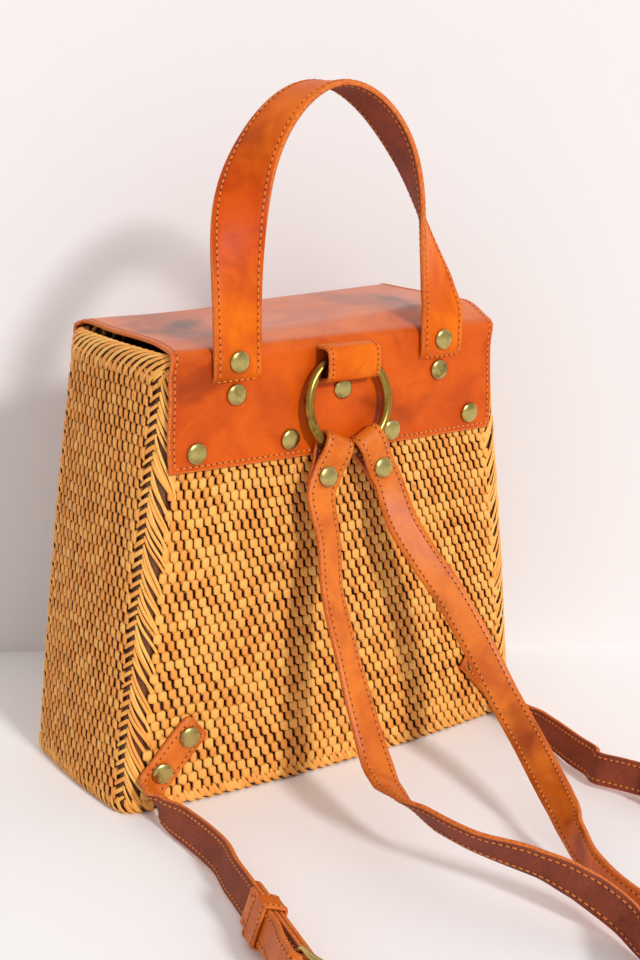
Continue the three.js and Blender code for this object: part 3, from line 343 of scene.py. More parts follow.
def brass_finish(name, pale, dull, gloss):
    paint = Paint(name)
    haze = paint.noise(240, 4, 0.65)
    rub = paint.noise(1800, 3, 0.7, (1, 1, 3))
    tarnish = paint.noise(90, 3, 0.6).above(0.5, 0.75)
    colour = paint.blend((haze * 0.7 + tarnish * 0.4).above(0.3, 0.85), pale, dull)
    return paint.done(
        Base_Color=colour, Metallic=1.0,
        Roughness=haze * 0.16 + rub * 0.1 + tarnish * 0.08 + gloss,
        Normal=paint.bump(rub, 0.03, 0.4))


def edge_finish(name, pale, rich):
    paint = Paint(name)
    fuzz = paint.noise(900, 3, 0.7)
    return paint.done(
        Base_Color=paint.blend(fuzz.above(0.3, 0.7), rich, pale),
        Roughness=fuzz * 0.2 + 0.55, Normal=paint.bump(fuzz, 0.25, 0.7))


def thread_finish(name, pale, rich):
    paint = Paint(name)
    ply = paint.noise(2600, 2, 0.6)
    return paint.done(
        Base_Color=paint.blend(ply, rich, pale),
        Roughness=ply * 0.2 + 0.55, Normal=paint.bump(ply, 0.12, 0.7))


# Dark spots for the needle's holes and the slits: painted shade.
def hole_shade_finish(name, dark, darker):
    paint = Paint(name)
    soot = paint.noise(1500, 2, 0.6)
    return paint.done(Base_Color=paint.blend(soot, dark, darker), Roughness=soot * 0.1 + 0.8)


# The last colour of each cane finish is painted shade, shown where the rise mark is low: in the
# weave's hollows and along strands' edges.
CANE = cane_finish("cane", rgb(244, 180, 86), rgb(230, 146, 54), rgb(80, 30, 6))
# The cords and cores are coloured dark brown: painted shade in the gaps between stitches and under
# the wraps.
SHADED_CANE_CORD = cane_finish(
    "cane_cord_shade", rgb(140, 78, 30), rgb(96, 46, 16), rgb(52, 20, 6), (0.12, 0.12, 1))
CANE_BINDING = cane_finish("cane_binding", rgb(250, 188, 92), rgb(238, 154, 60), rgb(80, 30, 6))
# On the lid the cover takes paler second colours, partly a painted sheen, with a darker stain and a
# coat.
COVER_LEATHER = leather_finish(
    "cover_leather", rgb(216, 90, 0), rgb(190, 70, 0), rgb(136, 44, 0), 0.38, 30,
    coat=0.6, shine=0.2, shade_and_sheen=(rgb(226, 112, 34), rgb(198, 84, 16), rgb(104, 38, 10)))
# The handle's second colours are darker: painted shade on the middle of its left leg.
HANDLE_LEATHER = leather_finish(
    "handle_leather", rgb(232, 112, 0), rgb(208, 86, 0), rgb(160, 56, 0), 0.42, 44,
    shade_and_sheen=(rgb(204, 70, 0), rgb(176, 52, 0), rgb(120, 34, 0)))
STRAP_LEATHER = leather_finish(
    "strap_leather", rgb(224, 118, 28), rgb(196, 88, 12), rgb(134, 50, 6), 0.4, 40, shine=0.3)
EDGE_LEATHER = edge_finish("cut_edge", rgb(228, 124, 36), rgb(186, 78, 14))
FLESH_LEATHER = flesh_finish("flesh_side", rgb(150, 66, 34), rgb(112, 44, 22))
THREAD = thread_finish("thread", rgb(238, 146, 62), rgb(208, 104, 30))
HOLE_SHADE = hole_shade_finish("stitch_hole_shade", rgb(92, 38, 14), rgb(120, 54, 18))
BRASS = brass_finish("brass", rgb(192, 172, 104), rgb(116, 94, 44), 0.12)
OLD_BRASS = brass_finish("ring_brass", rgb(164, 132, 60), rgb(70, 50, 18), 0.12)

# A leather piece's finishes, in the order of its materials
GRAIN, CUT, FLESH, SEWN, SHADED_HOLE = range(5)
BACKS = [EDGE_LEATHER, FLESH_LEATHER, THREAD, HOLE_SHADE]
STRAP_FINISHES = [STRAP_LEATHER, *BACKS]
COVER_FINISHES = [COVER_LEATHER, *BACKS]
HANDLE_FINISHES = [HANDLE_LEATHER, *BACKS]


# ---- mesh making

class Work:
    """One piece while it is shaped: its points, its faces, and a finish for each face."""

    def __init__(self):
        self.points = []
        self.faces = []
        self.finish = []
        self.marks = {"tone": [], "rise": []}
        self.count = 0

    def add(self, points, faces, finish=0, tone=0.5, rise=1.0):
        points = np.asarray(points, float).reshape(-1, 3)
        self.faces += [tuple(k + self.count for k in face) for face in faces]
        self.finish += [finish] * len(faces) if isinstance(finish, int) else list(finish)
        for mark, value in (("tone", tone), ("rise", rise)):
            value = np.asarray(value, float).reshape(-1)
            self.marks[mark].append(np.broadcast_to(value, (len(points),)))
        self.points.append(points)
        self.count += len(points)

    def tube(self, rings, finish=0, tone=0.5, rise=1.0, closed=False):
        """Skins rings of points, (rings, points round, 3). A finish may be one for each strip."""
        rings = np.asarray(rings, float)
        n, m = rings.shape[:2]
        spans = n if closed else n - 1
        i, j = np.arange(spans)[:, None], np.arange(m)[None, :]
        far, turn = (i + 1) % n, (j + 1) % m
        quads = np.stack([i * m + j, i * m + turn, far * m + turn, far * m + j], -1)
        faces = quads.reshape(-1, 4).tolist()
        kinds = [finish] * len(faces) if isinstance(finish, int) else list(finish) * spans
        if not closed:
            faces += [list(range(m))[::-1], list(range((n - 1) * m, n * m))]
            kinds += [kinds[0], kinds[0]]
        self.add(rings, faces, kinds, tone, rise)

    def make(self, name, materials, smooth=True, weld=0.0):
        mesh = bpy.data.meshes.new(name)
        mesh.from_pydata((np.concatenate(self.points) * MM).tolist(), [], self.faces)
        for material in materials:
            mesh.materials.append(material)
        mesh.polygons.foreach_set("material_index", self.finish)
        mesh.polygons.foreach_set("use_smooth", [smooth] * len(self.faces))
        for mark, values in self.marks.items():
            attribute = mesh.attributes.new(mark, "FLOAT", "POINT")
            attribute.data.foreach_set("value", np.concatenate(values))
        shaped = bmesh.new()
        shaped.from_mesh(mesh)
        if weld:
            bmesh.ops.remove_doubles(shaped, verts=shaped.verts, dist=weld * MM)
        bmesh.ops.recalc_face_normals(shaped, faces=shaped.faces)
        shaped.to_mesh(mesh)
        shaped.free()
        piece = bpy.data.objects.new(name, mesh)
        bpy.context.scene.collection.objects.link(piece)
        return piece

    def hand_in(self, name, materials, body, slot, *nodes, **options):
        """Makes the piece, and says the body that it rides and the nodes it replaces. The slot is
        not used.
        """
        piece = self.make(name, materials, **options)
        if body:
            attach(piece, body)
        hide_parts(*nodes)
        return piece


def unit(vectors):
    vectors = np.asarray(vectors, float)
    return vectors / np.maximum(np.linalg.norm(vectors, axis=-1, keepdims=True), 1e-9)


def smooth(value, low, high):
    t = np.clip((np.asarray(value, float) - low) / (high - low), 0, 1)
    return t * t * (3 - 2 * t)


def walk(line):
    """The length walked along a line, at each of its points."""
    return np.r_[0, np.cumsum(np.linalg.norm(np.diff(line, axis=0), axis=1))]


def found(where, walked, values):
    """The values at lengths along a line."""
    return np.stack([np.interp(where, walked, values[:, k]) for k in range(3)], 1)


def framed(even, at, wide):
    """A route: lengths, places, and directions along, across and out of the face."""
    along = unit(np.gradient(at, axis=0))
    wide = unit(wide - along * np.sum(wide * along, 1, keepdims=True))
    return even, at, along, wide, np.cross(along, wide)


def soft_route(stations, step=2.0):
    """A route with even steps along a centripetal curve through (place, direction across)."""
    places = np.array([s[0] for s in stations], float)
    across = unit([s[1] for s in stations])
    before = np.vstack([2 * places[0] - places[1], places, 2 * places[-1] - places[-2]])
    t = np.linspace(0, 1, 24, endpoint=False)[:, None]
    line, turn = [], []
    for k in range(len(places) - 1):
        p0, p1, p2, p3 = before[k:k + 4]
        d0, d1, d2 = (max(np.linalg.norm(b - a) ** 0.5, 1e-2)
                      for a, b in ((p0, p1), (p1, p2), (p2, p3)))
        m1 = ((p1 - p0) / d0 - (p2 - p0) / (d0 + d1) + (p2 - p1) / d1) * d1
        m2 = ((p2 - p1) / d1 - (p3 - p1) / (d1 + d2) + (p3 - p2) / d2) * d1
        line.append((2 * t**3 - 3 * t**2 + 1) * p1 + (t**3 - 2 * t**2 + t) * m1
                    + (-2 * t**3 + 3 * t**2) * p2 + (t**3 - t**2) * m2)
        share = smooth(t, 0, 1)
        turn.append(across[k] * (1 - share) + across[k + 1] * share)
    line = np.vstack([*line, places[-1:]])
    turn = np.vstack([*turn, across[-1:]])
    walked = walk(line)
    even = np.linspace(0, walked[-1], max(int(walked[-1] / step), 2) + 1)
    return framed(even, found(even, walked, line), found(even, walked, turn))


def evened(route, reach, start, full):
    """The route with its kinks averaged out, fully beyond `full` millimetres from either end."""
    even, at, _, wide, _ = route
    span = 15
    spread = np.exp(-((np.arange(-span, span + 1) * (even[1] - even[0]) / reach) ** 2) / 2)
    spread = spread / spread.sum()
    share = smooth(np.minimum(even, even[-1] - even), start, full)[:, None]

    def averaged(values):
        padded = np.pad(values, ((span, span), (0, 0)), mode="edge")
        mean = np.stack([np.convolve(padded[:, k], spread, "valid") for k in range(3)], 1)
        return values + (mean - values) * share

    return framed(even, averaged(at), averaged(wide))


# Round a strap's section: (share of half width, share of half thickness)
SECTION = [(-0.955, 0.93), (-0.6, 1.0), (0.0, 1.03), (0.6, 1.0), (0.955, 0.93), (0.99, 0.55),
           (1.0, 0.0), (0.99, -0.55), (0.955, -0.93), (0.6, -1.0), (0.0, -1.0), (-0.6, -1.0),
           (-0.955, -0.93), (-0.99, -0.55), (-1.0, 0.0), (-0.99, 0.55)]
SECTION_FINISH = [GRAIN] * 4 + [CUT] * 4 + [FLESH] * 4 + [CUT] * 4


def band(work, route, width, thickness, grain_out=1, narrow=None, shade_and_sheen=0.0):
    """A leather strap of that width and thickness along a route, with rounded edges and ends."""
    even, at, _, wide, out = route
    inset = np.minimum(even, even[-1] - even)
    share = np.clip(inset / (thickness / 2), 0, 1)
    round_end = np.sqrt(np.clip(1 - (1 - share) ** 2, 0.02, 1))
    half = np.full(len(even), width / 2)
    if narrow is not None:
        half = half * narrow(even, even[-1])
    section = np.array(SECTION)
    high = thickness / 2 * grain_out * round_end[:, None, None] * section[None, :, 1:]
    rings = (at[:, None, :] + wide[:, None, :] * (half[:, None, None] * section[None, :, :1])
             + out[:, None, :] * high)
    # The tone mark says how far the leather's second colours take over; on the handle they are
    # painted shade.
    tone = np.repeat(np.broadcast_to(shade_and_sheen, len(even)), len(SECTION))
    work.tube(rings, SECTION_FINISH, tone, 0.0)


def pills(work, centres, along, out, size, finish):
    """Small rounded strokes lying on a surface, as (half length, half width, half height)."""
    centres, along, out = (np.asarray(v, float) for v in (centres, along, out))
    side = unit(np.cross(along, out))
    spots = np.array([
        (reach * size[0], swell * size[1] * math.cos(k * math.pi / 3),
         swell * size[2] * math.sin(k * math.pi / 3))
        for reach, swell in ((-1, 0.25), (-0.62, 1), (0.62, 1), (1, 0.25)) for k in range(6)])
    points = (centres[:, None, :] + along[:, None, :] * spots[None, :, :1]
              + side[:, None, :] * spots[None, :, 1:2] + out[:, None, :] * spots[None, :, 2:])
    faces = [(6 * i + j, 6 * i + (j + 1) % 6, 6 * i + 6 + (j + 1) % 6, 6 * i + 6 + j)
             for i in range(3) for j in range(6)]
    faces += [tuple(range(5, -1, -1)), tuple(range(18, 24))]
    whole = [tuple(k + 24 * n for k in face) for n in range(len(centres)) for face in faces]
    work.add(points, whole, finish)


def sew(work, line, out, pitch=STITCH_PITCH, thread=STITCH_SIZE):
    """A row of stitches with the needle's holes between them, along a line on a surface. The holes
    are small dark spots of painted shade.
    """
    line, out = np.asarray(line, float), unit(out)
    walked = walk(line)
    where = np.arange(pitch / 2, walked[-1], pitch)
    for spots, proud, size, finish in (
            (where, 0.12, thread, SEWN), (where[:-1] + pitch / 2, 0.04, STITCH_HOLE, SHADED_HOLE)):
        heading = unit(found(spots + 0.4, walked, line) - found(spots - 0.4, walked, line))
        facing = unit(found(spots, walked, out))
        pills(work, found(spots, walked, line) + facing * proud, heading, facing, size, finish)


def sew_band(work, route, width, thickness, start, stop, inset=STITCH_INSET):
    """Stitches along both edges of a band, on both faces."""
    even, at, _, wide, out = route
    keep = (even >= start) & (even <= even[-1] - stop)
    for side in (1, -1):
        for edge in (1, -1):
            line = at + wide * edge * (width / 2 - inset) + out * side * thickness / 2 * 1.01
            sew(work, line[keep], (out * side)[keep])


def sew_across(work, route, length, half, thickness, points):
    """Stitches across a band's grain face, a length along it."""
    even, at, _, wide, out = route
    k = int(np.argmin(np.abs(even - length)))
    line = at[k] + wide[k] * np.linspace(-1, 1, points)[:, None] * half + out[k] * thickness / 2
    sew(work, line, np.repeat(out[k:k + 1], points, 0))


def lathe(work, profile, seat, axis):
    """Turns a profile of (radius, height) about an axis through a seat."""
    axis = unit(axis)
    first = unit(np.cross(axis, (0.3, 0.1, 1.0) if abs(axis[2]) < 0.9 else (1.0, 0, 0)))
    second = np.cross(axis, first)
    angle = np.linspace(0, ROUND, 28, endpoint=False)
    spoke = first * np.cos(angle)[:, None] + second * np.sin(angle)[:, None]
    work.tube([np.asarray(seat) + spoke * max(r, 0.02) + axis * h for r, h in profile])


# ---- the basket's form

def half_width(z):
    s = np.asarray(z, float) / BASKET_HEIGHT
    return (BASE_WIDTH + (TOP_WIDTH - BASE_WIDTH) * s) / 2 + EDGE_SWELL * s * (1 - s)


def face_out(x, z):
    bow = FACE_BOW * np.maximum(1 - np.asarray(z, float) / BASKET_HEIGHT, 0)
    return HALF_DEPTH + bow * (1 - (x / half_width(z)) ** 2)


def side_out(y, z):
    return half_width(z) + SIDE_BOW * (1 - (np.asarray(y, float) / HALF_DEPTH) ** 2)


def back_normal(x, z):
    slope_x = face_out(x + 0.5, z) - face_out(x - 0.5, z)
    slope_z = face_out(x, z + 0.5) - face_out(x, z - 0.5)
    return unit(np.array([-slope_x, -1.0, -slope_z]))


def back_place(x, z, off):
    return np.array([x, -face_out(x, z) - off, z], float)


def off_back(x, z, off):
    return back_place(x, z, 0) + back_normal(x, z) * off


# A cloth gives the place of (-1 to 1 across, shift aside, height, offset outwards).

def back_cloth(sign):
    def place(u, shift, z, off):
        x = u * (half_width(z) - CORNER_RADIUS) + shift
        return np.stack(np.broadcast_arrays(x, sign * (face_out(x, z) + off), z), -1)
    return place


def side_cloth(sign):
    def place(u, shift, z, off):
        y = u * FLAT_DEPTH + shift
        return np.stack(np.broadcast_arrays(sign * (side_out(y, z) + off), y, z), -1)
    return place


BASE_RUN = 120  # the base's rows are counted along this length, front to back


def base_cloth(u, shift, run, off):
    x = u * (half_width(3) - 8) + shift
    reach = HALF_DEPTH + FACE_BOW * (1 - (x / half_width(0)) ** 2) - 6
    y = (run - BASE_RUN / 2) * reach / (BASE_RUN / 2)
    return np.stack(np.broadcast_arrays(x, y, 1.0 - off), -1)


# A strand's section: domed outside, flat inside.
STRAND = np.array([(-1, -0.1), (-0.72, 0.72), (-0.1, 1.0), (0.62, 0.8), (1, -0.1)])

# One stitch of cane from its tail up to its head, in rows above its middle: half width and place
# aside in column pitches, and how far out it stands.
STITCH = np.array([
    (-0.90, 0.32, 0.34, -0.90), (-0.74, 0.40, 0.42, 0.25), (-0.53, 0.46, 0.42, 0.70),
    (-0.43, 0.80, 0.12, 0.94), (-0.14, 0.88, 0.00, 1.00), (0.22, 0.88, -0.04, 1.00),
    (0.41, 0.83, -0.07, 0.80), (0.48, 0.54, 0.00, -0.30), (0.72, 0.30, 0.15, -1.00)])


def by_hand(columns, steps, size):
    """Smooth unevenness over a panel, for each column and step."""
    wide, high = 12, 14
    grid = np.array([[chance.uniform(-size, size) for _ in range(high)] for _ in range(wide)])
    rows, across = np.linspace(0, high - 1, steps), np.linspace(0, wide - 1, columns)
    up = np.stack([np.interp(rows, np.arange(high), line) for line in grid])
    return np.stack([np.interp(across, np.arange(wide), line) for line in up.T], 1)


def weave(work, place, columns, low, high, pitch, hand=1, plump=1.0, fair=0.5):
    """Upright canes stitched over level cords, each row half a stitch aside of the last."""
    stitches = int((high - low) / ROW / 2) + 2
    steps = stitches * len(STITCH)
    k = np.arange(columns)[:, None]
    nth = np.repeat(np.arange(stitches), len(STITCH))
    height, half, aside, out = (np.tile(STITCH[:, n], stitches)[None, :] for n in range(4))
    uneven = by_hand(columns, steps, 0.2)
    z = low + ROW * (2 * nth[None, :] - 1 + k % 2 + 0.5 + height + uneven)
    u = -1 + (2 * k + 1) / columns
    whims = np.array([[chance.uniform(-1, 1) for _ in range(stitches)] for _ in range(columns)])
    whim = np.repeat(whims, len(STITCH), axis=1)
    width = pitch(z) * plump * half * (1 + 0.17 * whim)
    slant = aside * (1 + by_hand(columns, steps, 0.9))
    shift = hand * pitch(z) * (slant + by_hand(columns, steps, 0.16))
    a, b = STRAND[:, 0], STRAND[:, 1]
    off = -WEAVE_DEPTH + WEAVE_SWING * out[..., None] + b + 0 * shift[..., None]
    side = shift[..., None] + width[..., None] * a
    rings = place(u[..., None], side, z[..., None] + 0 * side, off)
    # Painted shade: the rise mark is low where a strand goes in behind the cords and towards its
    # edges, and darkens it there.
    lift = np.clip(0.5 + 0.5 * out[..., None], 0, 1)
    rise = lift * np.clip(0.34 + 1.1 * b, 0.0, 1) + 0 * side
    for c in range(columns):
        inside = (z[c] > low) & (z[c] < high)
        flecks = fair + 0.42 * whim[c] + chance.uniform(-0.2, 0.2)
        tone = np.repeat(np.clip(flecks, 0, 1)[inside], len(STRAND))
        work.tube(rings[c][inside], 0, tone, rise[c][inside].reshape(-1))
    # Level cords in the dark cord colour: painted shade for the gaps between the stitches.
    angle = np.linspace(0, ROUND, 5, endpoint=False)
    run = np.linspace(-1, 1, 25)[:, None]
    depth = -WEAVE_DEPTH - CORD_DEPTH + 0.8 * np.cos(angle) + 0 * run
    for j in range(int((high - low) / ROW)):
        level = low + (j + 0.5) * ROW
        cord = np.full((25, 5), level) + 0.58 * ROW * np.sin(angle)
        work.tube(place(run + 0 * depth, 0 * depth, cord, depth), 1, chance.uniform(0.1, 0.5), 0.42)


def strand(work, centres, out, width, thickness, tone, rise=0.9):
    """A flat strand of cane with narrower ends, along places with their outward directions."""
    centres, out = np.asarray(centres, float), unit(out)
    side = unit(np.cross(unit(np.gradient(centres, axis=0)), out))
    taper = np.ones(len(centres))
    taper[0] = taper[-1] = 0.55
    half = STRAND[None, :, :1] * width / 2 * taper[:, None, None]
    rings = (centres[:, None, :] + side[:, None, :] * half
             + out[:, None, :] * (STRAND[None, :, 1:] * thickness / 2))
    # Painted shade: the rise mark darkens the strand towards its edges.
    lift = rise * np.clip(0.22 + 1.2 * STRAND[:, 1], 0, 1)
    work.tube(rings, 0, tone, np.tile(lift, len(centres)))


def around(share, z, off):
    """A place on the basket's outside, by the share of the way round, and its outward direction."""
    inner, r = half_width(z) - CORNER_RADIUS, CORNER_RADIUS
    spans = [2 * (TOP_WIDTH / 2 - r), r * math.pi / 2, 2 * FLAT_DEPTH, r * math.pi / 2] * 2
    left = (share % 1) * sum(spans)
    part = 0  # back, corner, right side, corner, front, corner, left side, corner
    while left > spans[part]:
        left -= spans[part]
        part += 1
    t = left / spans[part]
    if part % 2:
        angle = math.radians(45 * part - 135 + 90 * t)
        out = np.array([math.cos(angle), math.sin(angle), 0])
        x, y = inner if part < 4 else -inner, FLAT_DEPTH if part in (3, 5) else -FLAT_DEPTH
        return np.array([x, y, z]) + out * (r + 0.5 + off), out
    sign = -1 if part in (0, 6) else 1
    if part % 4:
        y = sign * (-1 + 2 * t) * FLAT_DEPTH
        place, out = np.array([sign * side_out(y, z), y, z]), np.array([sign, 0.0, 0])
    else:
        x = -sign * (-1 + 2 * t) * inner
        place, out = np.array([x, sign * face_out(x, z), z]), np.array([0.0, sign, 0])
    return place + out * off, out


AROUND_LENGTH = 4 * (TOP_WIDTH / 2 - CORNER_RADIUS) + 4 * FLAT_DEPTH + ROUND * CORNER_RADIUS

# Over an edge of the basket: (height, offset outwards, and the outward direction's out and up)
FOOT = [(9, -0.3, 1, 0), (6, 0.1, 1, 0), (3.4, 0.0, 0.9, -0.4), (1.6, -0.9, 0.6, -0.8),
        (0.95, -2.6, 0.1, -1), (0.95, -5, 0, -1), (0.95, -8, 0, -1)]
RIM = [(224, -0.7, 1, 0.0), (228, -0.2, 1, 0.0), (232, 0.0, 1, 0.05), (235.5, -0.1, 0.95, 0.3),
       (238, -1.0, 0.7, 0.7), (239.2, -2.8, 0.2, 1), (239.3, -4.6, -0.2, 1),
       (238, -6.2, -0.8, 0.6), (235, -6.9, -1, 0.1), (231, -6.9, -1, 0)]


def wrap_edge(work, edge, pitch, lean, width, thickness):
    """Strands laid side by side over an edge of the basket, and the core under them."""
    count = int(AROUND_LENGTH / pitch)
    for n in range(count):
        centres, outs = [], []
        wobble = chance.uniform(-0.4, 0.4)
        for k, (z, off, flat, up) in enumerate(edge):
            slide = lean * smooth(k / (len(edge) - 1), 0, 0.8) + wobble
            place, out = around(n / count + slide / AROUND_LENGTH, z, off)
            centres.append(place)
            outs.append(out * flat + np.array([0, 0, up]))
        strand(work, centres, outs, width, thickness, chance.uniform(0.1, 0.95))
    low_z = edge[len(edge) // 4][0] - 4 * edge[len(edge) // 2][3]
    # The core under the strands takes the dark cord colour: painted shade.
    rings = []
    for n in range(120):
        ring = [around(n / 120, z - 0.6 * up, off - 0.6 * flat)[0] for z, off, flat, up in edge]
        rings.append([*ring, around(n / 120, low_z, -3.5)[0]])
    work.tube(rings, 1, 0.3, 0.6, closed=True)


def wrap_corner(work, quarter):
    """Short strands at every row and long ones slanting over them, on a core."""
    # The core takes the dark cord colour: painted shade under the strands.
    outer, inner = [(k / 6, 9.2) for k in range(7)], [(k / 6, 5.4) for k in range(6, -1, -1)]
    layers = [[quarter(t, z, r)[0] for t, r in outer + inner] for z in np.linspace(1.5, 236, 30)]
    work.tube(layers, 1, 0.35, 0.55)
    for level in np.arange(7, 232, ROW):
        spots = [quarter(1.16 - 0.56 * t, level - 3.4 + 6.6 * t, 9.5 + 0.7 * math.sin(math.pi * t))
                 for t in np.linspace(0, 1, 7)]
        strand(work, *zip(*spots), chance.uniform(2.0, 2.8), 1.7, chance.uniform(0.1, 0.8))
    z = 262.0
    while z > 12:
        reach = chance.uniform(26, 38)
        bulge = chance.uniform(-0.2, 0.5)
        spots = [quarter(0.70 - 1.02 * smooth(t, -0.15, 1.1), z - reach * t, 9.8 + bulge + 0.4 * t)
                 for t in np.linspace(0, 1, 11) if 2 < z - reach * t < 236]
        if len(spots) > 2:
            width, tone = chance.uniform(1.8, 2.3), chance.uniform(0.2, 1.0)
            strand(work, *zip(*spots), width, 1.6, tone, rise=0.95)
        z -= chance.uniform(3.8, 5.2)


def make_basket():
    woven, bound = [CANE, SHADED_CANE_CORD], [CANE_BINDING, SHADED_CANE_CORD]
    for name, sign in (("back", -1), ("front", 1)):
        work = Work()
        weave(work, back_cloth(sign), BROAD_COLUMNS, WEAVE_LOW, WEAVE_HIGH,
              lambda z: 2 * (half_width(z) - CORNER_RADIUS) / BROAD_COLUMNS, hand=-sign)
        work.hand_in(name + "_weave", woven, "basket", "cane", name + "_panel")
    for name, sign in (("left", -1), ("right", 1)):
        work = Work()
        # The narrow sides are given a darker tone than the broad faces: painted shade.
        weave(work, side_cloth(sign), NARROW_COLUMNS, WEAVE_LOW, WEAVE_HIGH,
              lambda z: 2 * FLAT_DEPTH / NARROW_COLUMNS + 0 * z, hand=sign, plump=0.82, fair=0.2)
        work.hand_in(name + "_weave", woven, "basket", "cane", name + "_panel")
    work = Work()
    weave(work, base_cloth, BROAD_COLUMNS, 0, BASE_RUN, lambda run: BASE_PITCH + 0 * run)
    wrap_edge(work, FOOT, pitch=4.4, lean=6, width=3.3, thickness=1.7)
    work.hand_in("base_weave", woven, "basket", "cane", "base_panel")

    work = Work()
    wrap_edge(work, RIM, pitch=6.2, lean=27, width=2.5, thickness=2.0)
    work.hand_in("rim_wrap", bound, "basket", "cane_binding",
                 "rim_back", "rim_front", "rim_left", "rim_right")

    corners = {"back_left": (-1, -1), "back_right": (1, -1),
               "front_left": (-1, 1), "front_right": (1, 1)}
    for corner, (sx, sy) in corners.items():
        def quarter(turn, z, radius):
            """A place round the corner: turn is 0 on the broad face and 1 on the narrow one."""
            angle = math.radians(90 * (1 - turn))
            out = np.array([sx * math.cos(angle), sy * math.sin(angle), 0])
            centre = np.array([sx * (half_width(z) - CORNER_RADIUS), sy * FLAT_DEPTH, z])
            return centre + out * radius, out

        work = Work()
        wrap_corner(work, quarter)
        work.hand_in("corner_wrap_" + corner, bound, "basket", "cane_binding",
                     "corner_binding_" + corner)


# ---- leather cover

def lid_lift(x, y):
    """How far the lid stands off the rim between its bends, and curls up towards +X."""
    along = (y + HINGE_Y) / (2 * HINGE_Y)
    stand = smooth(along, 0, 0.22) * smooth(1 - along, 0, 0.12)
    return stand * (2.5 + 6 * smooth(x, -70, 110))


def lid_stain(x, y):
    """Dark patches of wear on the lid: two streaks, about 20 mm wide."""
    share = 0
    for middle_x, middle_y, heading, long in ((-66, -1, 0.80, 34), (65, -16, 1.31, 38)):
        c, s = math.cos(heading), math.sin(heading)
        dx, dy = x - middle_x, y - middle_y
        share = share + np.exp(-((dx * c + dy * s) / long) ** 2 - ((dy * c - dx * s) / 10) ** 2)
    return share


def edge_spaced(length, pitch):
    """Stations from 0 to length, closer together where the edges are rounded."""
    near = HIDE_ROUNDING * np.array([0, 0.08, 0.3, 0.62, 1.0])
    count = max(int(length / pitch), 2)
    middle = np.linspace(HIDE_ROUNDING, length - HIDE_ROUNDING, count)
    return np.concatenate([near[:-1], middle, length - near[::-1][1:]])


def hide_sheet(work, place, across, along, lid_from):
    """A sheet of leather: place(u, v, height) with u from -1 to 1 and v in millimetres along.

    Its far end is closed straight, since the other piece of the cover goes on from it."""
    u = (edge_spaced(across, 3.5) / across) * 2 - 1
    v = edge_spaced(along, 3.0)
    near = np.minimum(((1 - np.abs(u)) * across / 2)[None, :], np.minimum(v, 9.0)[:, None])
    share = np.clip(near / HIDE_ROUNDING, 0, 1)
    height = np.sqrt(np.clip(1 - (1 - share) ** 2, 0, 1)) * HIDE / 2
    uu, vv = np.meshgrid(u, v)
    top, under = place(uu, vv, height), place(uu, vv, -height)
    rows, cols = uu.shape
    i, j = np.arange(rows - 1)[:, None], np.arange(cols - 1)[None, :]
    first = i * cols + j
    quads = np.stack([first, first + 1, first + cols + 1, first + cols], -1).reshape(-1, 4)
    edge = (near[:-1, :-1] < 0.9).reshape(-1) | (near[1:, 1:] < 0.9).reshape(-1)
    # Where the cover goes onto the lid its second colours take over: paler, partly a painted sheen.
    onto_lid = smooth(vv, lid_from - 8, lid_from + 8)
    for points, kind in ((top, GRAIN), (under, FLESH)):
        stain = lid_stain(points[..., 0], points[..., 1]) * onto_lid
        work.add(points, quads.tolist(), [CUT if e else kind for e in edge], onto_lid, stain)
    end = [(k, k + 1, cols + k + 1, cols + k) for k in range(cols - 1)]
    work.add(np.stack([top[-1], under[-1]]), end, CUT)


def cover_place(side, reach):
    """place(u, v, height) for the leather from its lower edge, over the bend and along the lid."""
    low = YOKE_BOTTOM if side < 0 else FLAP_BOTTOM
    rise = HINGE_Z - BEND - low
    arc = BEND * math.pi / 2

    def place(u, v, height):
        if side < 0:
            t = smooth(v, rise - 12, rise + 14)
            middle = COVER_X + (LID_X - COVER_X) * t
            half = (YOKE_WIDTH + (LID_WIDTH - YOKE_WIDTH) * t) / 2
            ragged = 0.7 * np.sin(v / 9.0) * np.sign(u) * np.abs(u) ** 12
            x = middle + u * half + ragged
        else:
            drop = np.clip(FLAP_CORNER - v, 0, FLAP_CORNER)
            corner = np.sqrt(np.maximum(FLAP_CORNER**2 - drop**2, 0.0))
            x = LID_X + u * (LID_WIDTH / 2 - FLAP_CORNER + corner)
        z_up = low + np.clip(v, 0, rise)
        angle = np.clip((v - rise) / arc, 0, 1) * math.pi / 2
        out_y, out_z = np.cos(angle), np.sin(angle)
        y = face_out(x, z_up) + COVER_SEAT + HIDE / 2
        y = y - BEND * (1 - out_y) - np.clip(v - rise - arc, 0, None)
        z = z_up + BEND * out_z
        lift = lid_lift(x, side * y) * np.where(v > rise + arc * 0.4, 1, 0)
        ripple = 0.25 * np.sin(x / 17 + v / 23) * smooth(np.abs(v - rise), 4, 20)
        off = height + ripple * (v > 2)
        return np.stack([x, side * (y + out_y * off), z + out_z * off + lift], -1)

    return place, rise + arc + reach


def edge_line(place, us, v):
    """A line on a sheet's grain face and its outward directions, for a row of stitches."""
    us, v = np.broadcast_arrays(np.asarray(us, float), np.asarray(v, float))
    line = place(us, v, np.full_like(v, HIDE / 2))
    return line, unit(line - place(us, v, np.full_like(v, HIDE / 2 - 1.0)))


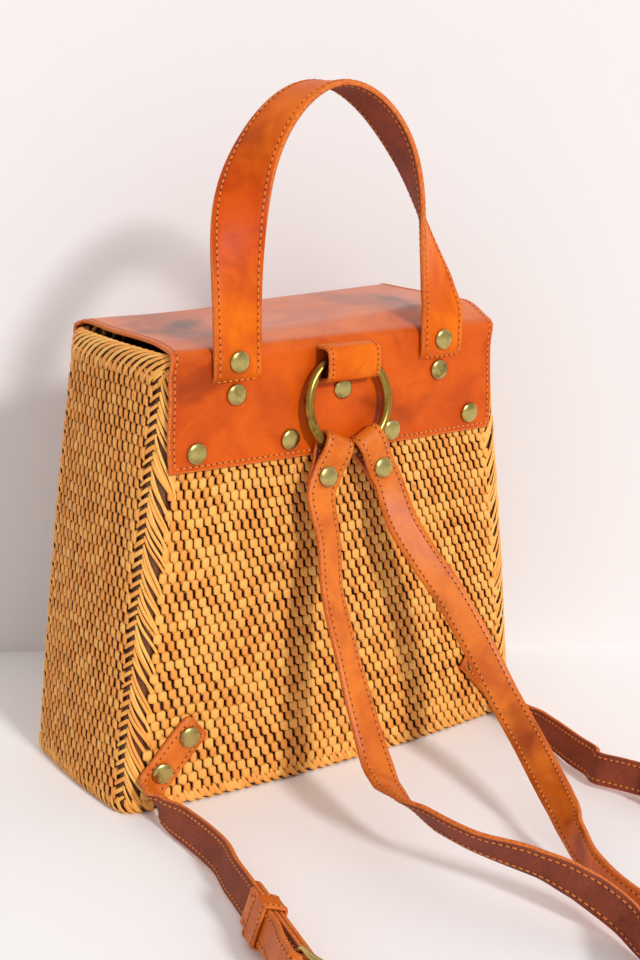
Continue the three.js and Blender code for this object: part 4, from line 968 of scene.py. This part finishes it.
def make_cover():
    place, length = cover_place(-1, LID_MIDDLE)
    work = Work()
    hide_sheet(work, place, YOKE_WIDTH, length, HINGE_Z - YOKE_BOTTOM + 2)
    inset = 1 - 2 * COVER_INSET / YOKE_WIDTH
    for u in (-inset, inset):
        sew(work, *edge_line(place, u, np.linspace(3, length - 2, 60)))
    sew(work, *edge_line(place, np.linspace(-inset, inset, 120), COVER_INSET))
    # painted shadow in the slits that the handle and the ring's tab go through, as dark lips
    for x, half, z in ((COVER_X - HANDLE_X, 14.6, 225.6), (COVER_X + HANDLE_X, 14.6, 225.6),
                       (COVER_X, 17.2, 219.9)):
        pills(work, [back_place(x, z, COVER_FACE + 0.02)], [(1, 0, 0)], [(0, -1, 0)],
              (half, 0.9, 0.22), SHADED_HOLE)
    piece = work.hand_in("cover_back", COVER_FINISHES, None, "cover_leather",
                         "back_yoke", "lid_top", weld=0.01)
    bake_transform(piece)

    place, length = cover_place(1, 5.0)
    work = Work()
    hide_sheet(work, place, LID_WIDTH, length, HINGE_Z - FLAP_BOTTOM + 2)
    inset = 1 - 2 * COVER_INSET / LID_WIDTH
    for u in (-inset, inset):
        sew(work, *edge_line(place, u, np.linspace(5, length - 1, 60)))
    sew(work, *edge_line(place, np.linspace(-0.97, 0.97, 120), COVER_INSET))
    piece = work.hand_in("cover_front", COVER_FINISHES, None, "cover_leather",
                         "front_flap", weld=0.01)
    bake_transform(piece)


# ---- handle

# Places along the handle's twisted arch, and the heading in degrees of the direction across it
HANDLE_ROUTE = [
    (-66.8, -60.1, 250, 180), (-66.4, -59.2, 264, 179), (-65.4, -57.4, 281, 175),
    (-62.8, -54, 300, 160), (-56.6, -49.4, 320, 134), (-45.8, -46.6, 341, 114),
    (-27.2, -47.4, 363.6, 102), (-6.2, -51.4, 373.4, 98), (12.5, -56.6, 364.6, 101),
    (29, -59.8, 346, 93), (43, -60.8, 317, 68), (51.6, -60.2, 287, 39), (60.6, -59.8, 263, 14),
    (63.8, -60.1, 250, 0),
]


def make_handle():
    def foot(sign):
        x = COVER_X + sign * HANDLE_X
        heights = [(HANDLE_TAIL_Y, 212.8), (HANDLE_TAIL_Y, 219), (HANDLE_TAIL_Y - 0.6, 223),
                   (-57.4, 225.6), (HANDLE_STRAP_Y + 0.3, 228), (HANDLE_STRAP_Y, 231),
                   (HANDLE_STRAP_Y, 238), (HANDLE_STRAP_Y, 245)]
        return [((x, y, z), (sign, 0, 0)) for y, z in heights]

    arch = [((x, y, z), (math.cos(math.radians(h)), math.sin(math.radians(h)), 0))
            for x, y, z, h in HANDLE_ROUTE]
    route = evened(soft_route(foot(-1) + arch + foot(1)[::-1]), reach=12, start=34, full=66)
    even = route[0]
    # Painted shade: the middle of the left leg takes the handle's darker second colours.
    shaded_leg = smooth(even, 46, 84) * (1 - smooth(even, 104, 146))
    work = Work()
    band(work, route, HANDLE_WIDTH, HANDLE_THICKNESS, shade_and_sheen=0.85 * shaded_leg)
    sew_band(work, route, HANDLE_WIDTH, HANDLE_THICKNESS,
             start=HANDLE_SEWN_FROM, stop=HANDLE_SEWN_FROM, inset=HANDLE_INSET)
    for length in (16.5, even[-1] - 16.5):
        sew_across(work, route, length, HANDLE_WIDTH / 2 - HANDLE_INSET, HANDLE_THICKNESS, 12)
    piece = work.hand_in("handle", HANDLE_FINISHES, None, "handle_leather",
                         "handle_left_end", "handle_right_end", "handle_loop")
    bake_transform(piece)


# ---- rivets and snap

RIVET_CAP = 5.7
RIVET_HEIGHT = 2.0

# Profiles of the snap, as (radius, height) from the front panel's face
SNAP_STUD = [(0, 5.7), (2.5, 5.6), (4.6, 5.1), (6.1, 4.4), (6.5, 4.0), (6.4, 3.75), (2, 3.7),
             (2, 0.8), (5.5, 0.8), (5.5, 0.05), (0, 0.0)]
SNAP_SOCKET = [(0, -1.6), (2.2, -1.6), (2.6, -0.3), (4.6, -0.3), (5.2, -0.7), (5.8, -0.3),
               (6.4, -0.5), (6.5, -1), (6.5, -2.5), (0, -2.5)]


def rivet_profile(grip):
    """From the top of the dome to the burr at the far end of the grip."""
    dome = [(RIVET_CAP * math.sin(a), 0.5 + (RIVET_HEIGHT - 0.5) * math.cos(a))
            for a in np.linspace(0.02, 1.35, 9)]
    rim = [(RIVET_CAP * 0.985, 0.62), (RIVET_CAP, 0.42), (RIVET_CAP, 0.12), (RIVET_CAP * 0.96, 0)]
    shank = [(2, 0), (2, -grip)]
    burr = [(4.3, -grip), (4.5, -grip - 0.3), (4.4, -grip - 0.8), (3, -grip - 1.15),
            (0, -grip - 1.2)]
    return [(0, RIVET_HEIGHT), *dome, *rim, *shank, *burr]


def make_rivet(name, seat, direction, grip, body="basket"):
    work = Work()
    direction = unit(direction)
    lathe(work, rivet_profile(grip + 0.7), np.asarray(seat, float) + direction * 0.4, direction)
    work.hand_in("domed_" + name, [BRASS], body, "brass", name)


def make_fasteners():
    out, through = (0, -1, 0), COVER_FACE + 5
    for k, (x, z) in enumerate([(-88.9, 190.6), (-33.3, 191.2), (32.3, 188.4), (87.9, 191.4)]):
        make_rivet(f"yoke_rivet_{k + 1}", back_place(COVER_X + x, z, COVER_FACE), out, through)
    make_rivet("ring_tab_rivet", back_place(COVER_X, 214.6, COVER_FACE), out, through)
    for side, sign in (("left", -1), ("right", 1)):
        x = COVER_X + sign * HANDLE_X
        make_rivet(f"handle_{side}_low_rivet", back_place(x, 218.3, COVER_FACE), out, through)
        make_rivet(f"handle_{side}_high_rivet", (x, HANDLE_STRAP_Y - 1.5, 235.6), out, 13.9)
        for k, (x, z) in enumerate(ANCHORS[side]["rivets"]):
            seat = off_back(x, z, COVER_SEAT + STRAP_THICKNESS + 0.3)
            make_rivet(f"strap_{side}_anchor_rivet_{k + 1}", seat, back_normal(x, z),
                       COVER_SEAT + STRAP_THICKNESS + 6.3)
        angle = sign * LOOP_ANGLE
        seat = to_ring(wire_place(angle) + ring_around(angle) * 15.5 + np.array([0, -2.75, 0]))
        make_rivet(f"strap_{side}_loop_rivet", seat, ring_turn(out), 5.5, "ring_and_loops")

    snap = (LID_X, float(face_out(LID_X, SNAP_Z)), SNAP_Z)
    for name, profile, body, node in (("snap_button", SNAP_STUD, "front_cover", "snap_stud"),
                                      ("snap_seat", SNAP_SOCKET, "basket", "snap_socket")):
        work = Work()
        lathe(work, profile, snap, (0, 1, 0))
        work.hand_in(name, [BRASS], body, "brass", node)


# ---- ring and tab

# The ring's own frame has its top at the origin, and angles counted from its lowest place.

def ring_turn(vector):
    x, y, z = np.asarray(vector, float)
    c, s = math.cos(-RING_TILT), math.sin(-RING_TILT)
    return np.array([x, c * y - s * z, s * y + c * z])


def to_ring(point):
    return ring_turn(point) + np.array([RING_X, RING_AXIS_Y, RING_TOP_Z])


def ring_around(degrees):
    a = math.radians(degrees)
    return np.array([math.sin(a), 0, -math.cos(a)])


def wire_place(degrees):
    return np.array([0, 0, -RING_RADIUS]) + ring_around(degrees) * RING_RADIUS


def make_ring():
    outward = np.array([0, -1, 0])
    rings = []
    for a in np.linspace(0, 360, 96, endpoint=False):
        around_wire = [ring_around(a) * math.cos(b) + outward * math.sin(b)
                       for b in np.linspace(0, ROUND, 20, endpoint=False)]
        rings.append([to_ring(wire_place(a) + spoke * RING_WIRE / 2) for spoke in around_wire])
    work = Work()
    work.tube(rings, closed=True)
    work.hand_in("brass_ring", [OLD_BRASS], "ring_and_loops", "brass", "ring")


def make_tab():
    """A strip that comes out of one slit of the yoke, goes round the ring and into the other."""
    front, tail = -70.2, -54.8
    path = [(tail, 208.4), (tail, 215), (tail - 0.2, 219), (tail - 2.2, 221.3), (-62, 221.5),
            (front + 3.6, 221.5), (front + 1.0, 222.8), (front, 226), (front - 0.2, 230),
            (front, 234), (front + 1.2, 237.2), (front + 4, 238.4), (-61, 238.4), (-55.6, 238.4)]
    route = soft_route([((COVER_X, y, z), (1, 0, 0)) for y, z in path], 1.0)
    work = Work()
    band(work, route, TAB_WIDTH, HIDE, grain_out=-1)
    even, at, _, wide, out = route
    keep = (at[:, 1] < -62) & (even > 15)
    for edge in (-1, 1):
        line = at + wide * edge * (TAB_WIDTH / 2 - TAB_INSET) - out * HIDE / 2
        sew(work, line[keep], -out[keep], **FINE_STITCHES)
    work.hand_in("stitched_ring_tab", HANDLE_FINISHES, "basket", "cover_leather", "ring_tab")


# ---- shoulder straps

# Places along each strap, and the direction across it
UPPER_ROUTES = {
    "left": [
        (-21.5, -77.1, 138.2, 0.95, 0.27, -0.17), (-26, -87, 114.8, 0.93, 0.34, -0.1),
        (-28.6, -103.4, 87.9, 0.95, 0.3, -0.05), (-29.6, -120.2, 58.9, 0.98, 0.15, 0.05),
        (-30.8, -134.4, 38.2, 0.98, 0.05, 0.08), (-35.2, -149.6, 31.8, 0.96, 0.1, -0.25),
        (-38.2, -168, 31, 0.78, 0.1, -0.6), (-37.9, -191.8, 30.9, 0.5, 0.05, -0.86),
        (-32.9, -217, 29.5, 0.47, 0.15, -0.86), (-19.6, -242.6, 27.2, 0.26, 0.1, -0.96),
        (-11.2, -259, 23.1, 0, 0, -1), (-4.7, -272, 17.4, -0.25, 0, -0.95),
        (-1.7, -287, 11.6, -0.3, 0.1, -0.9), (-19, -320, 9.4, 0.4, -0.2, -0.85),
        (-43, -343, 4.8, 0.5, -0.8, -0.2), (-78, -353, 2.4, 0, -1, 0),
        (-112, -343, 5, -0.5, -0.85, 0.2), (-136, -322, 10.2, -0.3, -0.4, 0.85),
        (-146, -299, 13, 0, 0, 1),
    ],
    "right": [
        (22.8, -82, 143.5, 0.92, -0.19, 0.34), (29.8, -91, 126, 0.92, -0.2, 0.35),
        (39.9, -102.2, 105.4, 0.85, -0.35, 0.38), (48.2, -117.7, 79.7, 0.82, -0.4, 0.4),
        (54, -134.4, 53.4, 0.82, -0.46, 0.35), (51.8, -158, 36.6, 0.8, -0.48, 0.35),
        (43.8, -182.6, 27, 0.72, -0.48, 0.5), (35.8, -203.6, 20.6, 0.55, -0.35, 0.75),
        (26.8, -221.6, 16.2, 0.25, -0.1, 0.95), (18.8, -243, 13, 0, 0, 1),
        (15.2, -263, 10.4, 0, 0, 1), (15, -287, 9.4, 0, 0, 1), (24, -315, 9.2, 0, 0, 1),
        (47, -338, 9.2, 0, 0, 1), (80, -347, 9.2, 0, 0, 1), (113, -339, 9.6, 0, 0, 1),
        (135, -320, 11, 0, 0, 1), (143, -301, 13, 0, 0, 1),
    ],
}
LOWER_ROUTES = {
    "left": [
        (-121.6, -66.8, 13, 0.55, -0.25, -0.8), (-122, -76, 10.4, 0.1, 0, -1),
        (-120, -94, 9.6, -0.3, 0, -0.95), (-119.8, -114, 9.6, -0.36, 0, -0.93),
        (-121.4, -133, 9.8, -0.36, 0, -0.93),
    ],
    "right": [
        (118.5, -66.5, 13.2, 0.95, -0.2, 0.25), (119.4, -75, 10.6, 0.85, 0, -0.5),
        (117.2, -87, 9.8, 0.4, 0, -0.9), (113.6, -105, 9.6, -0.1, 0, -0.98),
        (109.8, -122, 9.8, -0.25, 0, -0.96), (105.6, -139, 10.2, -0.35, 0, -0.93),
        (102.6, -155, 10.8, -0.37, 0, -0.92),
    ],
}
ANCHORS = {
    "left": {"tip": (-91.7, 45.1), "rivets": [(-97.8, 40), (-113.5, 23)], "leave": (-118.5, 17.3)},
    "right": {"tip": (88.9, 45.1), "rivets": [(95, 40), (110.6, 23)], "leave": (115.6, 17.3)},
}
# The middle of each buckle's bar, and the heading of the strap from there in degrees
BUCKLES = {"left": ((-147.4, -239.5, 14.2), -103.2), "right": ((127, -249, 14.8), -72.4)}


def buckle_frame(side):
    """The buckle's heel, and directions along the strap, out of its face and across it."""
    heel, heading = BUCKLES[side]
    turn, climb, lean = math.radians(heading), math.radians(2.5), math.radians(20)
    along = np.array([math.cos(turn) * math.cos(climb), math.sin(turn) * math.cos(climb),
                      math.sin(climb)])
    level = unit(np.cross((0, 0, 1), along))
    upright = np.cross(along, level)
    out = level * math.cos(lean) - upright * math.sin(lean)
    return np.array(heel, float), along, out, np.cross(along, out)


def at_buckle(side, x, y, z):
    heel, along, out, high = buckle_frame(side)
    return heel + along * x + out * y + high * z


def make_upper_strap(side, sign):
    """One strip: the end behind the rivet, round the ring, to the ground and into the tongue."""
    angle = sign * LOOP_ANGLE
    wire, down, across = wire_place(angle), ring_around(angle), ring_turn(ring_around(angle + 90))
    outward = np.array([0, -1.0, 0])
    r, back = LOOP_INNER + STRAP_THICKNESS / 2, LOOP_APART
    loop = [(-back, 23.6), (-back, 15), (-back - 0.4, 11), (-r + 0.5, 4), (-r, 0),
            (-r * 0.78, -1.6 - r * 0.62), (0, -1.6 - r), (r * 0.78, -1.6 - r * 0.62), (r, 0),
            (r - 0.5, 4), (back + 0.4, 11), (back, 15), (back, 24.3)]
    stations = [(to_ring(wire + outward * a + down * b), across) for a, b in loop]
    stations += [(place[:3], place[3:]) for place in UPPER_ROUTES[side]]
    heel, along, out, high = buckle_frame(side)
    for reach in (TONGUE_REACH + 18, TONGUE_REACH + 6, TONGUE_REACH, 10, -10, -30, -50, -64,
                  -TONGUE_OVERLAP):
        stations.append((heel + along * reach + out * TONGUE_OUT, high))

    def pointed(even, length):
        left = np.clip((length - even) / 9, 0, 1)
        return 0.06 + 0.94 * np.sqrt(1 - (1 - left) ** 2)

    work = Work()
    route = soft_route(stations, 1.6)
    band(work, route, STRAP_WIDTH, STRAP_THICKNESS, narrow=pointed)
    sew_band(work, route, STRAP_WIDTH, STRAP_THICKNESS, start=4, stop=12)
    # The tongue's holes are dark discs: painted shade.
    for k in range(1, TONGUE_HOLES + 1):
        spot = heel + along * (4 - TONGUE_HOLE_PITCH * k) + out * TONGUE_OUT
        for face in (out, -out):
            pills(work, [spot + face * STRAP_THICKNESS / 2], [along], [face],
                  (1.6, 1.6, 0.14), SHADED_HOLE)
    piece = work.hand_in(f"long_strap_{side}", STRAP_FINISHES, None, "strap_leather",
                         f"strap_{side}_loop", f"strap_{side}_upper", f"strap_{side}_tongue")
    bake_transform(piece)


def make_lower_strap(side):
    """One strip: riveted to the corner, along the ground, round the buckle's bar and back."""
    anchor = ANCHORS[side]
    off = COVER_SEAT + STRAP_THICKNESS / 2
    tab = [off_back(x, z, off) for x, z in (anchor["tip"], *anchor["rivets"], anchor["leave"])]
    tab_wide = unit(np.cross(back_normal(*anchor["rivets"][0]), unit(tab[2] - tab[1])))
    stations = [(place, tab_wide) for place in tab]
    stations += [(place[:3], place[3:]) for place in LOWER_ROUTES[side]]
    fold = [(-92, 0), (-76, 0), (-60, 0), (-40, 0), (-20, 0), (-6, 0), (0, 0)]
    for k in range(1, 6):
        a = math.pi / 2 - k * math.pi / 5
        fold.append((-BAR_OUT * math.cos(a), BAR_OUT - BAR_OUT * math.sin(a)))
    fold += [(-5, 2 * BAR_OUT), (-12, 2 * BAR_OUT + 0.4), (-28, RETURN_OUT), (-40, RETURN_OUT),
             (-60.5, RETURN_OUT)]
    high = buckle_frame(side)[3]
    stations += [(at_buckle(side, a, b, 0), -high) for a, b in fold]

    def clipped(even, _):
        near = np.clip(even / 3.5, 0, 1)
        return 0.8 + 0.2 * np.sqrt(1 - (1 - near) ** 2)

    work = Work()
    route = soft_route(stations, 1.5)
    band(work, route, STRAP_WIDTH, STRAP_THICKNESS, narrow=clipped)
    sew_band(work, route, STRAP_WIDTH, STRAP_THICKNESS, start=3, stop=3)
    sew_across(work, route, 3, STRAP_WIDTH / 2 - STITCH_INSET, STRAP_THICKNESS, 10)
    work.hand_in(f"short_strap_{side}", STRAP_FINISHES, "basket", "strap_leather",
                 f"strap_{side}_lower", f"strap_{side}_buckle_end")


# ---- buckles and keepers

def make_buckle(side):
    """A frame of bent wire, from the middle of its bar round to there again."""
    wire = [(0, BAR_OUT, 0), (0, BAR_OUT, 0.8 * RAIL), (1.6, BAR_OUT + 0.1, RAIL),
            (8, BAR_OUT + 1.6, RAIL), (14, BAR_OUT + 5.2, RAIL),
            (BUCKLE_REACH - 1.4, FRONT_BAR_OUT - 0.3, RAIL),
            (BUCKLE_REACH, FRONT_BAR_OUT, 0.8 * RAIL), (BUCKLE_REACH, FRONT_BAR_OUT, 0)]
    wire += [(x, y, -z) for x, y, z in wire[-2::-1]]
    _, along, out, _ = buckle_frame(side)
    places = soft_route([(at_buckle(side, *spot), out) for spot in wire], 0.8)[1][:-1]
    heading = unit(np.roll(places, -1, 0) - np.roll(places, 1, 0))
    first = unit(np.cross(heading, out + 0.001 * along))
    second = np.cross(first, heading)
    angle = np.linspace(0, ROUND, 14, endpoint=False)
    rings = [place + (a * np.cos(angle)[:, None] + b * np.sin(angle)[:, None]) * BUCKLE_WIRE / 2
             for place, a, b in zip(places, first, second)]
    work = Work()
    work.tube(rings, closed=True)
    work.hand_in(f"wire_buckle_{side}", [BRASS], "basket", "brass", f"buckle_{side}")


def make_prong(side):
    """An eye round the buckle's bar, and an arm that narrows to its tip."""
    work = Work()
    eye = [(1.9, -1.0), (1.9, 1.0), (2.2, 1.2), (3.0, 1.2), (3.4, 0.9), (3.4, -0.9), (3.0, -1.2),
           (2.2, -1.2)]
    work.tube([[at_buckle(side, r * math.cos(a), BAR_OUT + r * math.sin(a), w) for r, w in eye]
               for a in np.linspace(0, ROUND, 24, endpoint=False)], closed=True)
    arm = [(2.0, BAR_OUT + 2.2), (5.4, TONGUE_OUT + 1.7), (8.6, 7.5), (13, 8.9), (18, 8.9),
           (22.8, 8.6)]
    section = np.array([(1, 0.5), (0.7, 0.95), (-0.7, 0.95), (-1, 0.5), (-1, -0.5),
                        (-0.7, -0.95), (0.7, -0.95), (1, -0.5)]) * (1.2, 1.1)
    high = buckle_frame(side)[3]
    _, places, _, wide, face = soft_route([(at_buckle(side, x, y, 0), high) for x, y in arm], 0.8)
    left = 1 - 0.45 * smooth(np.arange(len(places)) / len(places), 0.75, 1.0)
    work.tube([[place + (w * a + f * b) * size for a, b in section]
               for place, w, f, size in zip(places, wide, face, left)])
    work.hand_in(f"buckle_prong_{side}", [BRASS], f"{side}_prong", "brass", f"prong_{side}")


def make_keeper(side):
    """A closed band round the strap's layers, with rounded edges."""
    low, top = RETURN_OUT - 1.6, TONGUE_OUT + 1.6
    thick, corner = KEEPER_THICKNESS, 1.2
    middle = (low + top) / 2
    half_y = (top - low) / 2 + thick / 2 - corner
    half_z = STRAP_WIDTH / 2 + 0.3 + thick / 2 - corner
    loop = []  # places (out, across) from the band's middle, and the direction there
    for sign_y, sign_z, start in ((1, 1, 0), (-1, 1, 90), (-1, -1, 180), (1, -1, 270)):
        for a in np.radians(start + np.linspace(0, 90, 6)):
            loop.append((sign_y * half_y + corner * math.cos(a),
                         sign_z * half_z + corner * math.sin(a), math.cos(a), math.sin(a)))

    def lifted(along, lift):
        """The loop's places, along the strap from the keeper's middle and lifted off the band's."""
        return [at_buckle(side, along - KEEPER_FROM_BUCKLE, middle + y + ny * lift, z + nz * lift)
                for y, z, ny, nz in loop]

    work = Work()
    lines = [lifted(a * KEEPER_WIDTH / 2, b * thick / 2) for a, b in SECTION]
    work.tube(np.swapaxes(lines, 0, 1), SECTION_FINISH, closed=True)
    _, _, out, high = buckle_frame(side)
    facing = [out * ny + high * nz for _, _, ny, nz in loop]
    for edge in (-1, 1):
        line = lifted(edge * (KEEPER_WIDTH / 2 - 2.0), thick / 2)
        sew(work, line + line[:1], facing + facing[:1], **FINE_STITCHES)
    work.hand_in(f"stitched_keeper_{side}", STRAP_FINISHES, f"{side}_keeper", "strap_leather",
                 f"keeper_{side}")


# ---- stage

WALL_HEADING = 0.541
WALL_AWAY = 124


def plain_paint(name, colour):
    paint = Paint(name)
    faint = paint.noise(3, 2, 0.5)
    shaded = tuple(0.985 * c for c in colour[:3]) + (1,)
    paint.done(Base_Color=paint.blend(faint, colour, shaded), Roughness=0.9)
    return paint


def open_behind(paint):
    """Lets the camera see through the wall from behind, as through a wall of a set."""
    behind = (1 - paint.node("ShaderNodeNewGeometry", output=6)) * paint.node("ShaderNodeLightPath")
    clear = paint.node("ShaderNodeBsdfTransparent")
    mixed = paint.node("ShaderNodeMixShader", None, {0: behind})
    paint.tree.links.new(paint.shader.outputs[0], mixed.socket.node.inputs[1])
    paint.tree.links.new(clear.socket, mixed.socket.node.inputs[2])
    paint.tree.links.new(mixed.socket, paint.tree.nodes["Material Output"].inputs["Surface"])
    return paint


def make_stage():
    away = np.array([math.sin(WALL_HEADING), math.cos(WALL_HEADING), 0])
    run = np.array([away[1], -away[0], 0])
    floor_paint = plain_paint("floor_paint", rgb(252, 251, 251))
    wall_paint = open_behind(plain_paint("wall_paint", rgb(233, 229, 228)))
    floor, wall = Work(), Work()
    floor.add([(a * run + b * away) * 3500 for a, b in ((-1, 1), (1, 1), (1, -1), (-1, -1))],
              [(0, 1, 2, 3)])
    wall.add([away * WALL_AWAY + run * a + np.array([0, 0, b])
              for a, b in ((-3000, 0), (3000, 0), (3000, 2500), (-3000, 2500))], [(0, 1, 2, 3)])
    floor.make("floor", [floor_paint.material], smooth=False)
    wall.make("wall", [wall_paint.material], smooth=False)


make_stage()
make_basket()
make_cover()
make_handle()
make_fasteners()
make_ring()
make_tab()
for strap_side, strap_sign in (("left", -1), ("right", 1)):
    make_upper_strap(strap_side, strap_sign)
    make_lower_strap(strap_side)
    make_buckle(strap_side)
    make_prong(strap_side)
    make_keeper(strap_side)
